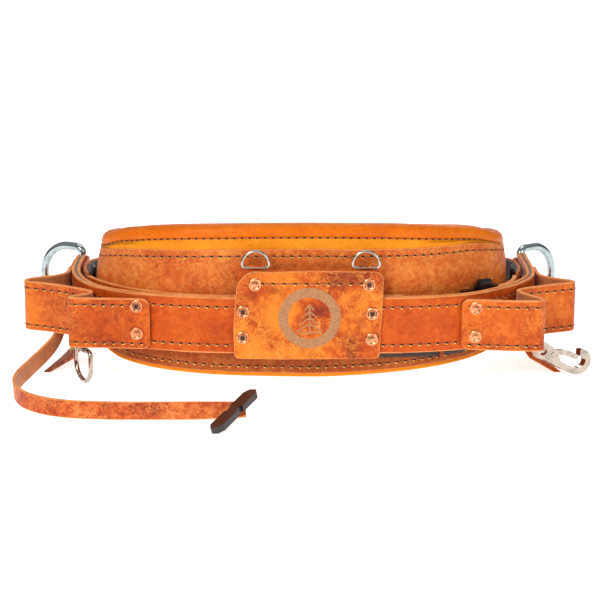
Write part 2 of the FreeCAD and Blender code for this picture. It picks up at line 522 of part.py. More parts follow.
FLAP_B, FLAP_M, FLAP_T = ((-241, 67), (-228, 127)), ((-217.5, 71), (-217.5, 127)), ((-202.5, 78), (-211.9, 126))
flap_r = []
for side in ("left", "right"):
    f = (lambda p: p) if side == "left" else mir
    w = [slab(f(FLAP_B[0]), f(FLAP_B[1]), 7.6, 0.0), slab(f(FLAP_M[0]), f(FLAP_M[1]), 7.0, 12.5), slab(f(FLAP_T[0]), f(FLAP_T[1]), 5.6, 32.0)]
    if side == "right":
        w = [Part.makePolygon([v.Point for v in x.OrderedVertexes][::-1] + [x.OrderedVertexes[-1].Point]) for x in w]
    low = Part.makeLoft(w[:2], True, True)
    high = Part.makeLoft(w[1:], True, True)
    seg = trim(out_path, 66, 106) if side == "left" else trim(out_path, L - 118, L - 78)
    tongue = ribbon(seg, 8.15, 10.9, 24, 60)
    body = low.fuse([high, tongue]).removeSplitter()
    add("side_flap_" + side, body)
    t = 0.5
    bx, by, bz = f((-226.6, 92))[0], 92.0, 16.0
    nd = V(-0.845 if side == "left" else 0.845, -0.08, 0.53)
    c = V(f((-215.6, 92))[0], 92.0, 15.6)
    br_ = revolve([(0, -2.9), (1.4, -2.9), (1.4, 3.0), (3.6, 3.0), (3.4, 3.9), (2.2, 4.7), (0, 4.9)])
    rr = turned(br_, (c.x, c.y, c.z), (nd.x, nd.y, nd.z))
    OUT["side_flap_" + side] = OUT["side_flap_" + side].cut(rr)
    flap_r.append(rr)
add("flap_rivets", *flap_r)


# ---------------------------------------------------------------- hanging ring (left) and snap hook (right)
def clip_u(r0, r1, width, leg):
    """A fold of sheet round a bar on the local x axis, legs up."""
    e = [Part.Arc(V(0, -r0, 0), V(0, 0, -r0), V(0, r0, 0)).toShape(), Part.LineSegment(V(0, r0, 0), V(0, r0, leg)).toShape(),
         Part.LineSegment(V(0, r0, leg), V(0, r1, leg)).toShape(), Part.LineSegment(V(0, r1, leg), V(0, r1, 0)).toShape(),
         Part.Arc(V(0, r1, 0), V(0, 0, -r1), V(0, -r1, 0)).toShape(), Part.LineSegment(V(0, -r1, 0), V(0, -r1, leg)).toShape(),
         Part.LineSegment(V(0, -r1, leg), V(0, -r0, leg)).toShape(), Part.LineSegment(V(0, -r0, leg), V(0, -r0, 0)).toShape()]
    s = Part.Face(Part.Wire(Part.__sortEdges__(e))).extrude(V(width, 0, 0))
    s.translate(V(-width / 2, 0, 0))
    return s


def ply_spot(pts, a, b, share):
    """A point in the loop's straight ply between two corners, and the ply's direction."""
    p, q_ = pts[a], pts[b]
    d = math.dist(p, q_)
    return (p[0] + (q_[0] - p[0]) * share, p[1] + (q_[1] - p[1]) * share), ((q_[0] - p[0]) / d, (q_[1] - p[1]) / d)


RC, RPLY = ply_spot(P_LOOPL, 5, 6, 0.60)
RDIR = (0.5, -0.8660254)               # the ring's bar; its eye is set askew to the leather it is clipped on
RZ = 32.6
ring = d_ring(RING_WIRE, RING_H, RING_E, 4.5)
add("hanging_ring", turned(ring, (RC[0], RC[1], RZ), (RDIR[0], RDIR[1], 0), (0, 0, -1)))
hug = turned(clip_u(2.35, 3.15, 10, 18), (RC[0], RC[1], 38.4), (0, 0, 1), (RPLY[0], RPLY[1], 0))
eye = Part.makeCylinder(3.1, 11, V(0, 0, -5.5)).fuse(Part.makeCylinder(2.6, 2.4, V(2.2, 0, 0), V(1, 0, 0))).cut(Part.makeCylinder(2.32, 20, V(0, 0, -10)))
eye = turned(eye, (RC[0], RC[1], RZ), (RDIR[0], RDIR[1], 0), (0, 0, 1))
fold = turned(Part.makeCylinder(2.35, 12, V(-6, 0, 0), V(1, 0, 0)).fuse(box(-6, 6, -2.35, 2.35, 0, 20)), (RC[0], RC[1], 38.4), (0, 0, 1), (RPLY[0], RPLY[1], 0))
add("ring_clip", hug.fuse(eye.cut(fold)).removeSplitter())

SC, SDIR = ply_spot(P_LOOPR, 5, 6, 0.69)
SZ = 35.05
NH = (SDIR[1], -SDIR[0]) if SDIR[1] > 0 else (-SDIR[1], SDIR[0])
BETA = math.radians(70)
SE = (NH[0] * math.sin(BETA), NH[1] * math.sin(BETA), -math.cos(BETA))
add("snap_dee", turned(d_ring(SDEE_WIRE, SDEE_H, SDEE_E, 3.2), (SC[0], SC[1], SZ), (SDIR[0], SDIR[1], 0), SE))
add("snap_dee_clip", turned(clip_u(2.2, 3.0, 11, 20), (SC[0], SC[1], SZ), (0, 0, 1), (SDIR[0], SDIR[1], 0)))
ANG = math.radians(21.7)
SD = (NH[0] * math.cos(ANG), NH[1] * math.cos(ANG), -math.sin(ANG))
APEX = (SC[0] + SE[0] * SDEE_E, SC[1] + SE[1] * SDEE_E, SZ + SE[2] * SDEE_E)
EYE = (APEX[0] + SD[0] * 1.6, APEX[1] + SD[1] * 1.6, APEX[2] + SD[2] * 1.6)


def flat(segs, w, t):
    """A bar of width w along a local x-y path, t thick about z=0, with round ends."""
    s = ribbon(segs, -w / 2, w / 2, -t / 2, t / 2)
    return s


HT = 6.0
hook_pts = [(5.0, -2.6), (14, -5.2), (26, -7.6), (37, -8.8), (46.5, -7.4), (52.3, -1.6), (51.4, 5.6), (45.6, 9.3), (40.2, 7.8)]
hook = ribbon(path(hook_pts, 0.48), -2.9, 2.9, -HT / 2, HT / 2)
cheek = Part.makePolygon([V(1, -6.6, 0), V(20, -9.4, 0), V(24, -6, 0), (V(17, 1.5, 0)), V(10, 5.0, 0), V(2, 7.0, 0), V(1, -6.6, 0)])
cheek = Part.Face(cheek).extrude(V(0, 0, HT))
cheek.translate(V(0, 0, -HT / 2))
eye_o = Part.makeCylinder(7.4, HT, V(0, 0, -HT / 2))
body = eye_o.fuse([cheek, hook]).removeSplitter().cut(Part.makeCylinder(4.1, 20, V(0, 0, -10)))
gate_pts = [(11.5, -1.0), (18, 2.6), (28, 4.6), (38.8, 3.2)]
PIV = (11.5, -1.0)
pocket = Part.makeCylinder(3.9, 2.9, V(PIV[0], PIV[1], -1.45)).fuse(ribbon(path([(PIV[0], PIV[1]), (18, 2.6), (34, 6.5)]), -3.3, 6.0, -1.45, 1.45))
pocket2 = Part.makeCylinder(22, 2.9, V(PIV[0], PIV[1], -1.45)).common(ribbon(path([(PIV[0] + 2, PIV[1] - 1.6), (30, -5.0)]), -1.2, 7, -1.45, 1.45))
body = body.cut(pocket).cut(pocket2)
body = body.cut(Part.makeCylinder(1.3, 20, V(PIV[0], PIV[1], -10)))
gate = ribbon(path(gate_pts, 0.48), -2.4, 2.4, -1.25, 1.25).fuse([Part.makeCylinder(3.4, 2.5, V(PIV[0], PIV[1], -1.25)), Part.makeCylinder(2.4, 2.5, V(38.8, 3.2, -1.25))]).removeSplitter()
gate = gate.cut(Part.makeCylinder(1.36, 20, V(PIV[0], PIV[1], -10)))
pin = revolve([(0, -3.6), (2.0, -3.6), (2.4, -3.05), (1.28, -3.05), (1.28, 3.05), (2.4, 3.05), (2.0, 3.6), (0, 3.75)])
pin.translate(V(PIV[0], PIV[1], 0))
SY = (SD[1] * 0 + NH[0] * math.sin(ANG), NH[1] * math.sin(ANG), math.cos(ANG))  # local y: up, square to the hook
SZD = V(*SD).cross(V(*SY))
HS = 1.08
PIV = (PIV[0] * HS, PIV[1] * HS)
for nm, s in (("snap_hook_body", body), ("snap_gate", gate), ("snap_gate_pin", pin)):
    s = s.copy()
    s.scale(HS, V(0, 0, 0))
    add(nm, turned(s, EYE, (SZD.x, SZD.y, SZD.z), SD))

# ---------------------------------------------------------------- tape thong and toggle
THONG = [(-225.5, 95, 47), (-226.5, 91, 37), (-233, 79, 26), (-243, 62, 17), (-253, 41, 11), (-259.5, 18, 8.4), (-260, -7, 8.2), (-254.5, -31, 8.2), (-241.5, -53, 8.2),
         (-220.5, -69, 8.2), (-194, -77, 8.2), (-165, -79.2, 8.2), (-135, -79.6, 8.2), (-106, -79.4, 8.2), (-78, -78.2, 8.2), (-51, -76.4, 8.4)]


def ribbon3(points, w, t, share=0.47):
    """A strap on edge along a rising route: straight runs and tangent arcs in plan, each stretch sheared to its height."""
    p2 = [(p[0], p[1]) for p in points]
    segs = path(p2, share)
    n = total(segs)
    cum = [0.0]
    for i in range(1, len(p2)):
        cum.append(cum[-1] + math.dist(p2[i - 1], p2[i]))
    zs = [(c / cum[-1] * n, p[2]) for c, p in zip(cum, points)]
    e0, e1 = shift(segs, -t / 2), shift(segs, t / 2)

    def height(d):
        for (a, za), (b, zb) in zip(zs, zs[1:]):
            if d <= b:
                k = (d - a) / (b - a)
                return za + (zb - za) * k
        return zs[-1][1]
    secs, d, rings = [], 0.0, []
    steps = 60
    for i in range(steps + 1):
        d = n * i / steps
        p, a = place(segs, d)
        nx, ny = -math.sin(a) * t / 2, math.cos(a) * t / 2
        z = height(d)
        rings.append([V(p[0] + nx, p[1] + ny, z - w / 2), V(p[0] - nx, p[1] - ny, z - w / 2), V(p[0] - nx, p[1] - ny, z + w / 2), V(p[0] + nx, p[1] + ny, z + w / 2)])
    faces = [Part.Face(Part.makePolygon(rings[0] + [rings[0][0]])), Part.Face(Part.makePolygon(rings[-1] + [rings[-1][0]]))]
    for k in range(4):
        a = [r[k] for r in rings]
        b = [r[(k + 1) % 4] for r in rings]
        for i in range(steps):
            for tri in ((a[i], a[i + 1], b[i + 1]), (a[i], b[i + 1], b[i])):
                faces.append(Part.Face(Part.makePolygon([tri[0], tri[1], tri[2], tri[0]])))
    sh = Part.makeShell(faces)
    sh.sewShape()
    s = Part.Solid(sh)
    if s.Volume < 0:
        s.reverse()
    length = sum((V(*[x for x in rings[i + 1][0]]) - V(*[x for x in rings[i][0]])).Length for i in range(steps))
    return s, length, segs


thong, tl, tsegs = ribbon3(THONG, THONG_W, THONG_T)
print("thong volume / (section * length)", round(thong.Volume / (THONG_W * THONG_T * tl), 3), "length", round(tl, 1))
print("thong arc radii", [round(s[4], 1) for s in tsegs if s[0] == "A"])
add("tape_thong", thong)
T0, T1 = V(-76.0, -119.0, 6.0), V(-45.0, -62.0, 16.5)
tv = (T1 - T0)
TLEN = tv.Length + 4
w2, th = 6.6, 5.6
oc = [(-TLEN / 2, -3.2), (-TLEN / 2 + 6, -w2), (TLEN / 2 - 6, -w2), (TLEN / 2, -3.2), (TLEN / 2, 3.2), (TLEN / 2 - 6, w2), (-TLEN / 2 + 6, w2), (-TLEN / 2, 3.2)]
tog = Part.Face(Part.makePolygon([V(x, y, 0) for x, y in oc + [oc[0]]])).extrude(V(0, 0, th))
tog.translate(V(0, 0, -th / 2))
tog = tog.cut(box(-4.6, 4.6, -9, -4.4, -4, 4)).cut(box(-4.6, 4.6, 4.4, 9, -4, 4))
TC = (T0 + T1) * 0.5
add("thong_toggle", turned(tog, (TC.x, TC.y, TC.z), (-0.25, -0.12, 0.96), (tv.x, tv.y, tv.z)))
OUT["tape_thong"] = OUT["tape_thong"].cut(OUT["thong_toggle"])

# ---------------------------------------------------------------- put the origin at the centre of the base, then write
CORD = ("tape_thong", "thong_toggle")
bb = FreeCAD.BoundBox()
for k, s in OUT.items():
    if k not in CORD:
        bb.add(s.BoundBox)
# bounding boxes of meshed copies are tighter than those of curved shapes
lo, hi = [1e9] * 3, [-1e9] * 3
for k, s in OUT.items():
    if k in CORD:
        continue
    for p in s.tessellate(0.05)[0]:
        for i, c in enumerate((p.x, p.y, p.z)):
            lo[i], hi[i] = min(lo[i], c), max(hi[i], c)
SHIFT = V(-round((lo[0] + hi[0]) / 2, 2), -round((lo[1] + hi[1]) / 2, 2), -round(lo[2], 3))
print("shift", tuple(round(x, 3) for x in SHIFT), "low", [round(x, 2) for x in lo], "high", [round(x, 2) for x in hi])
for k, s in OUT.items():
    s = s.copy()
    s.translate(SHIFT)
    if not s.isValid():
        print("NOT VALID", k)
    if not s.Solids:
        print("NO SOLID", k)
    s.exportStep(os.path.join("parts", k + ".step"))
print(len(OUT), "nodes")
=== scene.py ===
import bpy, bmesh, math, random
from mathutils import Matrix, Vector, noise


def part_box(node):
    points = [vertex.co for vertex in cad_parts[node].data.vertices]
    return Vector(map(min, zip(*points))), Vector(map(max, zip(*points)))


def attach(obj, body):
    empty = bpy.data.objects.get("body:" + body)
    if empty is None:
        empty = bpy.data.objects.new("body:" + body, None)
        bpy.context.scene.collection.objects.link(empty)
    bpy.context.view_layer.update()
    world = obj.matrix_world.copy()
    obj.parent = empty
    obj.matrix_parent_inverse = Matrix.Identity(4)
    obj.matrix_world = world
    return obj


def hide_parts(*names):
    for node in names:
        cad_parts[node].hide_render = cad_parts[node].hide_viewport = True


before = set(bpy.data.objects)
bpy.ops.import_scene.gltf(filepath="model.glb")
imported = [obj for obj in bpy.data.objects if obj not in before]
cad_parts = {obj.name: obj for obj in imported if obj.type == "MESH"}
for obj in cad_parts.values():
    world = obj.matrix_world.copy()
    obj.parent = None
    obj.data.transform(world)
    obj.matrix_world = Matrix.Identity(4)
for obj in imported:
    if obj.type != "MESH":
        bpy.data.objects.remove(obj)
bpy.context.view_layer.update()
COL = bpy.context.scene.collection

# the design's own coordinates (mm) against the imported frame
lo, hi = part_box("accessory_plate")
OX, OY, OZ = lo[0] * 1000 + 64.0, lo[1] * 1000 - 0.3, lo[2] * 1000 - 31.4


def W(x, y, z):
    return Vector(((x + OX) / 1000, (y + OY) / 1000, (z + OZ) / 1000))


# ---------------------------------------------------------------- camera
TH = math.radians(14.0)
cam_data = bpy.data.cameras.new("camera")
cam = bpy.data.objects.new("camera", cam_data)
COL.objects.link(cam)
cam_data.sensor_width = 36.0
cam_data.lens = 36.0 * 1953.0 / 600.0
cam_data.clip_end = 100.0
cam.location = W(-4.505, -1681.084, 505.280)
cam.rotation_euler = (math.radians(90.0) - TH, 0, 0)
bpy.context.scene.camera = cam


# ---------------------------------------------------------------- plan paths, as in the design
def path(points, share=0.47):
    out, prev = [], points[0]
    for i in range(1, len(points) - 1):
        p0, p1, p2 = points[i - 1], points[i], points[i + 1]
        a1 = math.atan2(p1[1] - p0[1], p1[0] - p0[0])
        a2 = math.atan2(p2[1] - p1[1], p2[0] - p1[0])
        turn = (a2 - a1 + math.pi) % (2 * math.pi) - math.pi
        if abs(turn) < 1e-3:
            continue
        run = share * min(math.dist(p0, p1), math.dist(p1, p2))
        r = run / math.tan(abs(turn) / 2)
        a = (p1[0] - math.cos(a1) * run, p1[1] - math.sin(a1) * run)
        b = (p1[0] + math.cos(a2) * run, p1[1] + math.sin(a2) * run)
        s = 1 if turn > 0 else -1
        c = (a[0] - math.sin(a1) * r * s, a[1] + math.cos(a1) * r * s)
        out += [("L", prev, a), ("A", a, b, c, r, turn)]
        prev = b
    out.append(("L", prev, points[-1]))
    return [s for s in out if s[0] == "A" or math.dist(s[1], s[2]) > 1e-6]


def seg_len(s):
    return math.dist(s[1], s[2]) if s[0] == "L" else abs(s[5]) * s[4]


def seg_at(s, t):
    if s[0] == "L":
        return ((s[1][0] + (s[2][0] - s[1][0]) * t, s[1][1] + (s[2][1] - s[1][1]) * t), math.atan2(s[2][1] - s[1][1], s[2][0] - s[1][0]))
    a = math.atan2(s[1][1] - s[3][1], s[1][0] - s[3][0]) + s[5] * t
    return ((s[3][0] + s[4] * math.cos(a), s[3][1] + s[4] * math.sin(a)), a + math.copysign(math.pi / 2, s[5]))


def total(segs):
    return sum(seg_len(s) for s in segs)


def place(segs, d):
    if d < 0:
        p, a = seg_at(segs[0], 0)
        return (p[0] + math.cos(a) * d, p[1] + math.sin(a) * d), a
    for s in segs:
        n = seg_len(s)
        if d <= n or s is segs[-1]:
            if d > n:
                p, a = seg_at(s, 1)
                return (p[0] + math.cos(a) * (d - n), p[1] + math.sin(a) * (d - n)), a
            return seg_at(s, d / n)
        d -= n


def smooth_angle(segs, d, w=1.2):
    """Position and direction with the direction eased over a short length, so folds don't crack the mesh."""
    p, _ = place(segs, d)
    a, b = place(segs, d - w)[0], place(segs, d + w)[0]
    return p, math.atan2(b[1] - a[1], b[0] - a[0])


def where_x(segs, x, first=True):
    n = total(segs)
    best = None
    for k in range(2001):
        p, _ = place(segs, n * k / 2000)
        e = abs(p[0] - x)
        if best is None or e < best[0]:
            best = (e, n * k / 2000)
    return best[1]


P_OUT = [(-222, 181), (-222.3, 150), (-221.3, 122), (-217, 98), (-210, 77), (-197.5, 54.5), (-180, 37.5), (-158.5, 25),
         (-137, 16.8), (-112, 10.2), (-85, 5.4), (-62, 4), (72, 4), (95, 5.6), (120, 10), (143, 16.6), (162, 26.5),
         (183, 45.5), (197.8, 62.7), (210, 82), (215.5, 99), (217.3, 120), (217.3, 150), (216.6, 190)]
P_PAD = [(-187, 134), (-193, 116), (-194.5, 98), (-190, 82), (-177, 64), (-155, 45.5), (-130, 31.5), (-102, 22.8),
         (-70, 19.6), (64, 19.6), (96, 23.5), (124, 33.5), (149, 49.5), (170, 67), (183, 83), (188.5, 99), (187, 116), (181, 134)]
P_PSTRAP = [(-202.5, 90.5), (-196, 79), (-181, 61.2), (-158, 41.5), (-134, 27.5), (-106, 18.0), (-76, 14.2), (-40, 14), (60, 14), (88, 14.4)]
P_WEB = [(60, 17.7), (72, 17.75), (90, 18.7), (108, 20.8), (124, 24.4), (137.5, 31.5), (146, 37.0)]
P_PSR = [(171.6, 54.9), (179.1, 59.8), (185.6, 66.8), (191.6, 77.5), (195, 88), (196, 97)]
P_LOOPL = [(-139.6, 13.9), (-150, 15), (-175, 16.8), (-198, 18.5), (-211.5, 20), (-211.5, 26.3), (-195.5, 36), (-193.5, 45), (-204, 54),
           (-225, 68.5), (-243, 77), (-259.5, 83), (-259.5, 94), (-247, 101.5), (-234.5, 107), (-225.4, 116), (-224.3, 129), (-224.6, 144)]
P_LOOPR = [(140.6, 13.6), (155, 11.6), (172, 9.4), (192, 6.6), (211, 6.8), (213.5, 12.5), (196, 41), (193.8, 50), (202.5, 57.5), (222.5, 67.5), (236, 73), (249.2, 77.8),
           (249.2, 86.8), (236.5, 94), (226.2, 101.5), (221, 111), (219.7, 124), (219.6, 142)]
P_BANDL = [(-205.4, 100), (-208.6, 114), (-210.4, 130), (-209.8, 150), (-202, 167), (-182, 175), (-150, 176), (-60, 176), (-44, 175.4), (-24, 174.1),
           (-6, 177.4), (10, 186.0), (24, 186.8), (40, 186.8), (128, 186.8)]
P_BANDR = [(14.5, 176.4), (60, 176.4), (145, 176.0), (177, 175), (197, 167), (204.6, 150), (205.4, 130), (203.6, 114), (200.4, 100)]
TOPS = [(-215, 121), (-194, 127.5), (-184, 132.4), (-177, 135.9), (-164, 139.3), (-140, 144), (-107.5, 147.6), (-62, 149.4), (0, 150), (42, 149.7), (85, 148.7), (130, 144.7), (155, 140.8), (170, 136), (180, 131.2), (190, 127), (215, 119)]
BOTS = [(-215, 30), (-192, 23), (-180, 18.5), (-171, 15.9), (-156, 14.1), (-142, 13.1), (-109, 11.8), (-64, 10.1), (4, 8.9), (30, 9.5), (63, 11.6), (98, 14.0), (133, 16.1), (158, 18.2), (176, 22), (190, 27.5), (215, 34)]
FACE_T = [(-215, 108), (-192, 113.6), (-176, 118.3), (-159, 121.3), (-130, 124.3), (-94, 126.7), (-62, 127.6), (0, 127.9), (42, 127.6), (85, 127.5), (130, 126.6), (155, 125.3), (176, 121.5), (190, 117), (215, 108)]
STRAP_Z0, STRAP_Z1 = 36.0, 86.8
LOOP_Z0, LOOP_Z1 = 37.3, 83.9
WAIST_Z0, WAIST_Z1 = 41.5, 87.5
AXZ = 64.5


def curve_at(pts, x):
    """Smooth value through the points at x (Catmull-Rom)."""
    n = len(pts)
    if x <= pts[0][0]:
        return pts[0][1]
    if x >= pts[-1][0]:
        return pts[-1][1]
    for i in range(n - 1):
        if pts[i][0] <= x <= pts[i + 1][0]:
            x0, y0 = pts[i]
            x1, y1 = pts[i + 1]
            m0 = (pts[i + 1][1] - pts[i - 1][1]) / (pts[i + 1][0] - pts[i - 1][0]) if i > 0 else (y1 - y0) / (x1 - x0)
            m1 = (pts[i + 2][1] - pts[i][1]) / (pts[i + 2][0] - pts[i][0]) if i < n - 2 else (y1 - y0) / (x1 - x0)
            h = x1 - x0
            t = (x - x0) / h
            return (2 * t ** 3 - 3 * t * t + 1) * y0 + (t ** 3 - 2 * t * t + t) * h * m0 + (-2 * t ** 3 + 3 * t * t) * y1 + (t ** 3 - t * t) * h * m1
    return pts[-1][1]


def nz(x, y, z=0.0):
    return noise.noise(Vector((x, y, z)))


# ---------------------------------------------------------------- materials
def srgb(r, g, b):
    f = lambda c: (c / 255) / 12.92 if c / 255 <= 0.04045 else ((c / 255 + 0.055) / 1.055) ** 2.4
    return (f(r), f(g), f(b), 1.0)


class Mat:
    """A node material with a small helper for adding and joining nodes."""

    def __init__(self, name):
        self.m = bpy.data.materials.new(name)
        self.m.use_nodes = True
        self.nt = self.m.node_tree
        self.bsdf = self.nt.nodes["Principled BSDF"]
        self.co = self.nt.nodes.new("ShaderNodeTexCoord").outputs["Object"]

    def add(self, kind, inputs=None, **props):
        n = self.nt.nodes.new(kind)
        for k, v in props.items():
            setattr(n, k, v)
        for k, v in (inputs or {}).items():
            if hasattr(v, "links"):
                self.nt.links.new(v, n.inputs[k])
            else:
                n.inputs[k].default_value = v
        return n

    def noise(self, scale, detail=4, rough=0.55, dist=0.0, vec=None):
        return self.add("ShaderNodeTexNoise", {"Vector": vec or self.co, "Scale": scale, "Detail": detail, "Roughness": rough, "Distortion": dist}).outputs["Fac"]

    def stretch(self, sx, sy, sz, ox=0.0, oy=0.0, oz=0.0):
        return self.add("ShaderNodeMapping", {"Vector": self.co, "Scale": (sx, sy, sz), "Location": (ox, oy, oz)}).outputs["Vector"]

    def voronoi(self, scale, feature="F1", vec=None, rnd=1.0):
        return self.add("ShaderNodeTexVoronoi", {"Vector": vec or self.co, "Scale": scale, "Randomness": rnd}, feature=feature).outputs["Distance"]

    def math(self, op, a, b=0.0, clamp=False):
        n = self.add("ShaderNodeMath", {0: a, 1: b}, operation=op)
        n.use_clamp = clamp
        return n.outputs[0]

    def ramp(self, fac, stops, interp="LINEAR"):
        n = self.add("ShaderNodeValToRGB", {"Fac": fac})
        n.color_ramp.interpolation = interp
        e = n.color_ramp.elements
        while len(e) < len(stops):
            e.new(0.5)
        for i, (p, c) in enumerate(stops):
            e[i].position = p
            e[i].color = c if len(c) == 4 else (*c, 1.0)
        return n.outputs["Color"]

    def rng(self, v, a, b, c=0.0, d=1.0):
        return self.add("ShaderNodeMapRange", {"Value": v, "From Min": a, "From Max": b, "To Min": c, "To Max": d}).outputs["Result"]

    def mix(self, fac, a, b, mode="MIX"):
        n = self.nt.nodes.new("ShaderNodeMix")
        n.data_type = "RGBA"
        n.blend_type = mode
        for idx, v in ((0, fac), (6, a), (7, b)):
            if hasattr(v, "links"):
                self.nt.links.new(v, n.inputs[idx])
            else:
                n.inputs[idx].default_value = v
        return n.outputs[2]

    def bump(self, height, strength, dist, normal=None):
        d = {"Height": height, "Strength": strength, "Distance": dist}
        if normal is not None:
            d["Normal"] = normal
        return self.add("ShaderNodeBump", d).outputs["Normal"]

    def set(self, **kw):
        for k, v in kw.items():
            s = self.bsdf.inputs[k.replace("_", " ")]
            if hasattr(v, "links"):
                self.nt.links.new(v, s)
            else:
                s.default_value = v
        return self.m


def leather(name, dark, mid, light, seed=0.0, veins=0.6, blotch=1.0, rough=0.42, grain=1.0, wrinkle=1.0, spec=0.2, share=(0.3, 0.3, 0.4), low_shade=None, bruise=0.6, crease=None):
    """Oiled pull-up leather: cloudy colour, pale stretch veins, darker bruises and a fine pebbled grain."""
    M = Mat(name)
    v = M.stretch(1, 1, 1, seed, seed * 0.7, seed * 1.3)
    big = M.noise(15.0, 5, 0.6, 0.6, v)
    med = M.noise(52.0, 6, 0.65, 0.9, v)
    fine = M.noise(210.0, 5, 0.7, 0.2, v)
    tone = M.math("ADD", M.math("MULTIPLY", big, share[0]), M.math("ADD", M.math("MULTIPLY", med, share[1]), M.math("MULTIPLY", fine, share[2])))
    spread = 0.15 / max(0.2, blotch)
    t = M.rng(tone, 0.5 - spread, 0.5 + spread)
    deep = tuple(c * 0.72 for c in dark[:3]) + (1,)
    col = M.ramp(t, [(0.0, deep), (0.22, dark), (0.5, mid), (0.78, light), (1.0, tuple(min(1, c * 1.12) for c in light[:3]) + (1,))])
    # pale veins where the leather was stretched: thin zero lines of two warped noises
    n1 = M.noise(34.0, 4, 0.6, 1.6, v)
    n2 = M.noise(70.0, 5, 0.6, 1.9, M.stretch(1, 1, 1, seed + 3.1, 1.7, seed))
    l1 = M.rng(M.math("ABSOLUTE", M.math("SUBTRACT", n1, 0.5)), 0.0, 0.022, 1.0, 0.0)
    l2 = M.rng(M.math("ABSOLUTE", M.math("SUBTRACT", n2, 0.5)), 0.0, 0.03, 1.0, 0.0)
    patch = M.rng(M.noise(19.0, 3, 0.5, 0.0, M.stretch(1, 1, 1, 5.0 + seed, 2, 1)), 0.44, 0.62)
    vein = M.math("MULTIPLY", M.math("MAXIMUM", l1, M.math("MULTIPLY", l2, 0.7)), M.math("MULTIPLY", patch, veins), True)
    pale = tuple(min(1.0, c * 1.35 + 0.02) for c in light[:3]) + (1,)
    col = M.mix(vein, col, pale)
    # bruises: dark reddish patches with soft edges
    br = M.rng(M.noise(26.0, 6, 0.62, 0.8, M.stretch(1, 1, 1, 9.0 + seed, 4, 6)), 0.56, 0.68)
    col = M.mix(M.math("MULTIPLY", br, 0.42 * bruise), col, tuple(c * f for c, f in zip(dark[:3], (0.85, 0.7, 0.9))) + (1,))
    hc = None
    if crease:
        # a net of pale creases where the oiled grain has been worked
        cs, cw, ck = crease
        wv = M.add("ShaderNodeVectorMath", {0: M.add("ShaderNodeTexNoise", {"Vector": v, "Scale": cs * 0.8, "Detail": 3.0}).outputs["Color"], 1: (1.6 / cs, 1.6 / cs, 1.6 / cs)}, operation="MULTIPLY").outputs[0]
        vv = M.add("ShaderNodeVectorMath", {0: v, 1: wv}, operation="ADD").outputs[0]
        e1 = M.rng(M.voronoi(cs, "DISTANCE_TO_EDGE", vv), 0.0, cw, 1.0, 0.0)
        e2 = M.rng(M.voronoi(cs * 2.3, "DISTANCE_TO_EDGE", vv), 0.0, cw * 1.2, 0.6, 0.0)
        gate = M.rng(M.noise(cs * 0.45, 4, 0.6, 0.0, M.stretch(1, 1, 1, 7 + seed, 1, 2)), 0.42, 0.6)
        hc = M.math("MULTIPLY", M.math("MAXIMUM", e1, e2), gate, True)
        col = M.mix(M.math("MULTIPLY", hc, ck), col, pale)
    # pores darken the colour a little
    cell = M.voronoi(620.0, "DISTANCE_TO_EDGE", v)
    pore = M.rng(cell, 0.0, 0.22, 0.82, 1.0)
    col = M.mix(1.0, col, M.add("ShaderNodeCombineColor", {0: pore, 1: pore, 2: pore}).outputs[0], "MULTIPLY")
    # painted shade: when asked, the colour is darkened towards the bottom of the piece by object height, standing in
    # for the shade that falls under the strap
    if low_shade:
        zc = M.add("ShaderNodeSeparateXYZ", {"Vector": M.co}).outputs[2]
        low_shade_gain = M.rng(zc, low_shade[0], low_shade[1], low_shade[2], 1.0)
        col = M.mix(1.0, col, M.add("ShaderNodeCombineColor", {0: low_shade_gain, 1: low_shade_gain, 2: low_shade_gain}).outputs[0], "MULTIPLY")
    h = M.math("ADD", M.math("MULTIPLY", M.rng(cell, 0.0, 0.3), 0.30 * grain), M.math("ADD", M.math("MULTIPLY", M.noise(1500.0, 3, 0.6), 0.22 * grain), M.math("MULTIPLY", vein, 0.35)))
    n = M.bump(h, 0.5, 0.0005)
    if hc is not None:
        n = M.bump(M.math("SUBTRACT", 1.0, hc), 0.5, 0.0006, n)
    wr = M.noise(120.0, 5, 0.62, 1.2, v)
    n = M.bump(M.math("ADD", wr, M.math("MULTIPLY", med, 1.5)), 0.34 * wrinkle, 0.0022, n)
    r = M.rng(tone, 0.35, 0.65, rough + 0.12, rough - 0.06)
    return M.set(Base_Color=col, Roughness=r, Normal=n, Specular_IOR_Level=spec)


def flesh(name, a, b, seed=0.0):
    """Suede side: fibrous, dull, flecked."""
    M = Mat(name)
    v = M.stretch(1, 1, 1, seed, 1.0, seed)
    f = M.noise(900.0, 6, 0.75, 0.3, v)
    g = M.noise(60.0, 4, 0.6, 0.4, v)
    t = M.math("ADD", M.math("MULTIPLY", f, 0.55), M.math("MULTIPLY", g, 0.45))
    col = M.ramp(M.rng(t, 0.32, 0.68), [(0.0, a), (1.0, b)])
    n = M.bump(f, 0.7, 0.0006)
    return M.set(Base_Color=col, Roughness=0.85, Normal=n, Sheen_Weight=0.25)


def cut_edge(name, a, b):
    """Raw cut edge: pale with layered fibres."""
    M = Mat(name)
    v = M.stretch(1, 1, 3)
    f = M.noise(380.0, 6, 0.7, 0.4, v)
    g = M.noise(45.0, 3, 0.5)
    col = M.ramp(M.rng(M.math("ADD", M.math("MULTIPLY", f, 0.6), M.math("MULTIPLY", g, 0.4)), 0.34, 0.64), [(0.0, a), (1.0, b)])
    return M.set(Base_Color=col, Roughness=0.7, Normal=M.bump(f, 0.5, 0.0005))


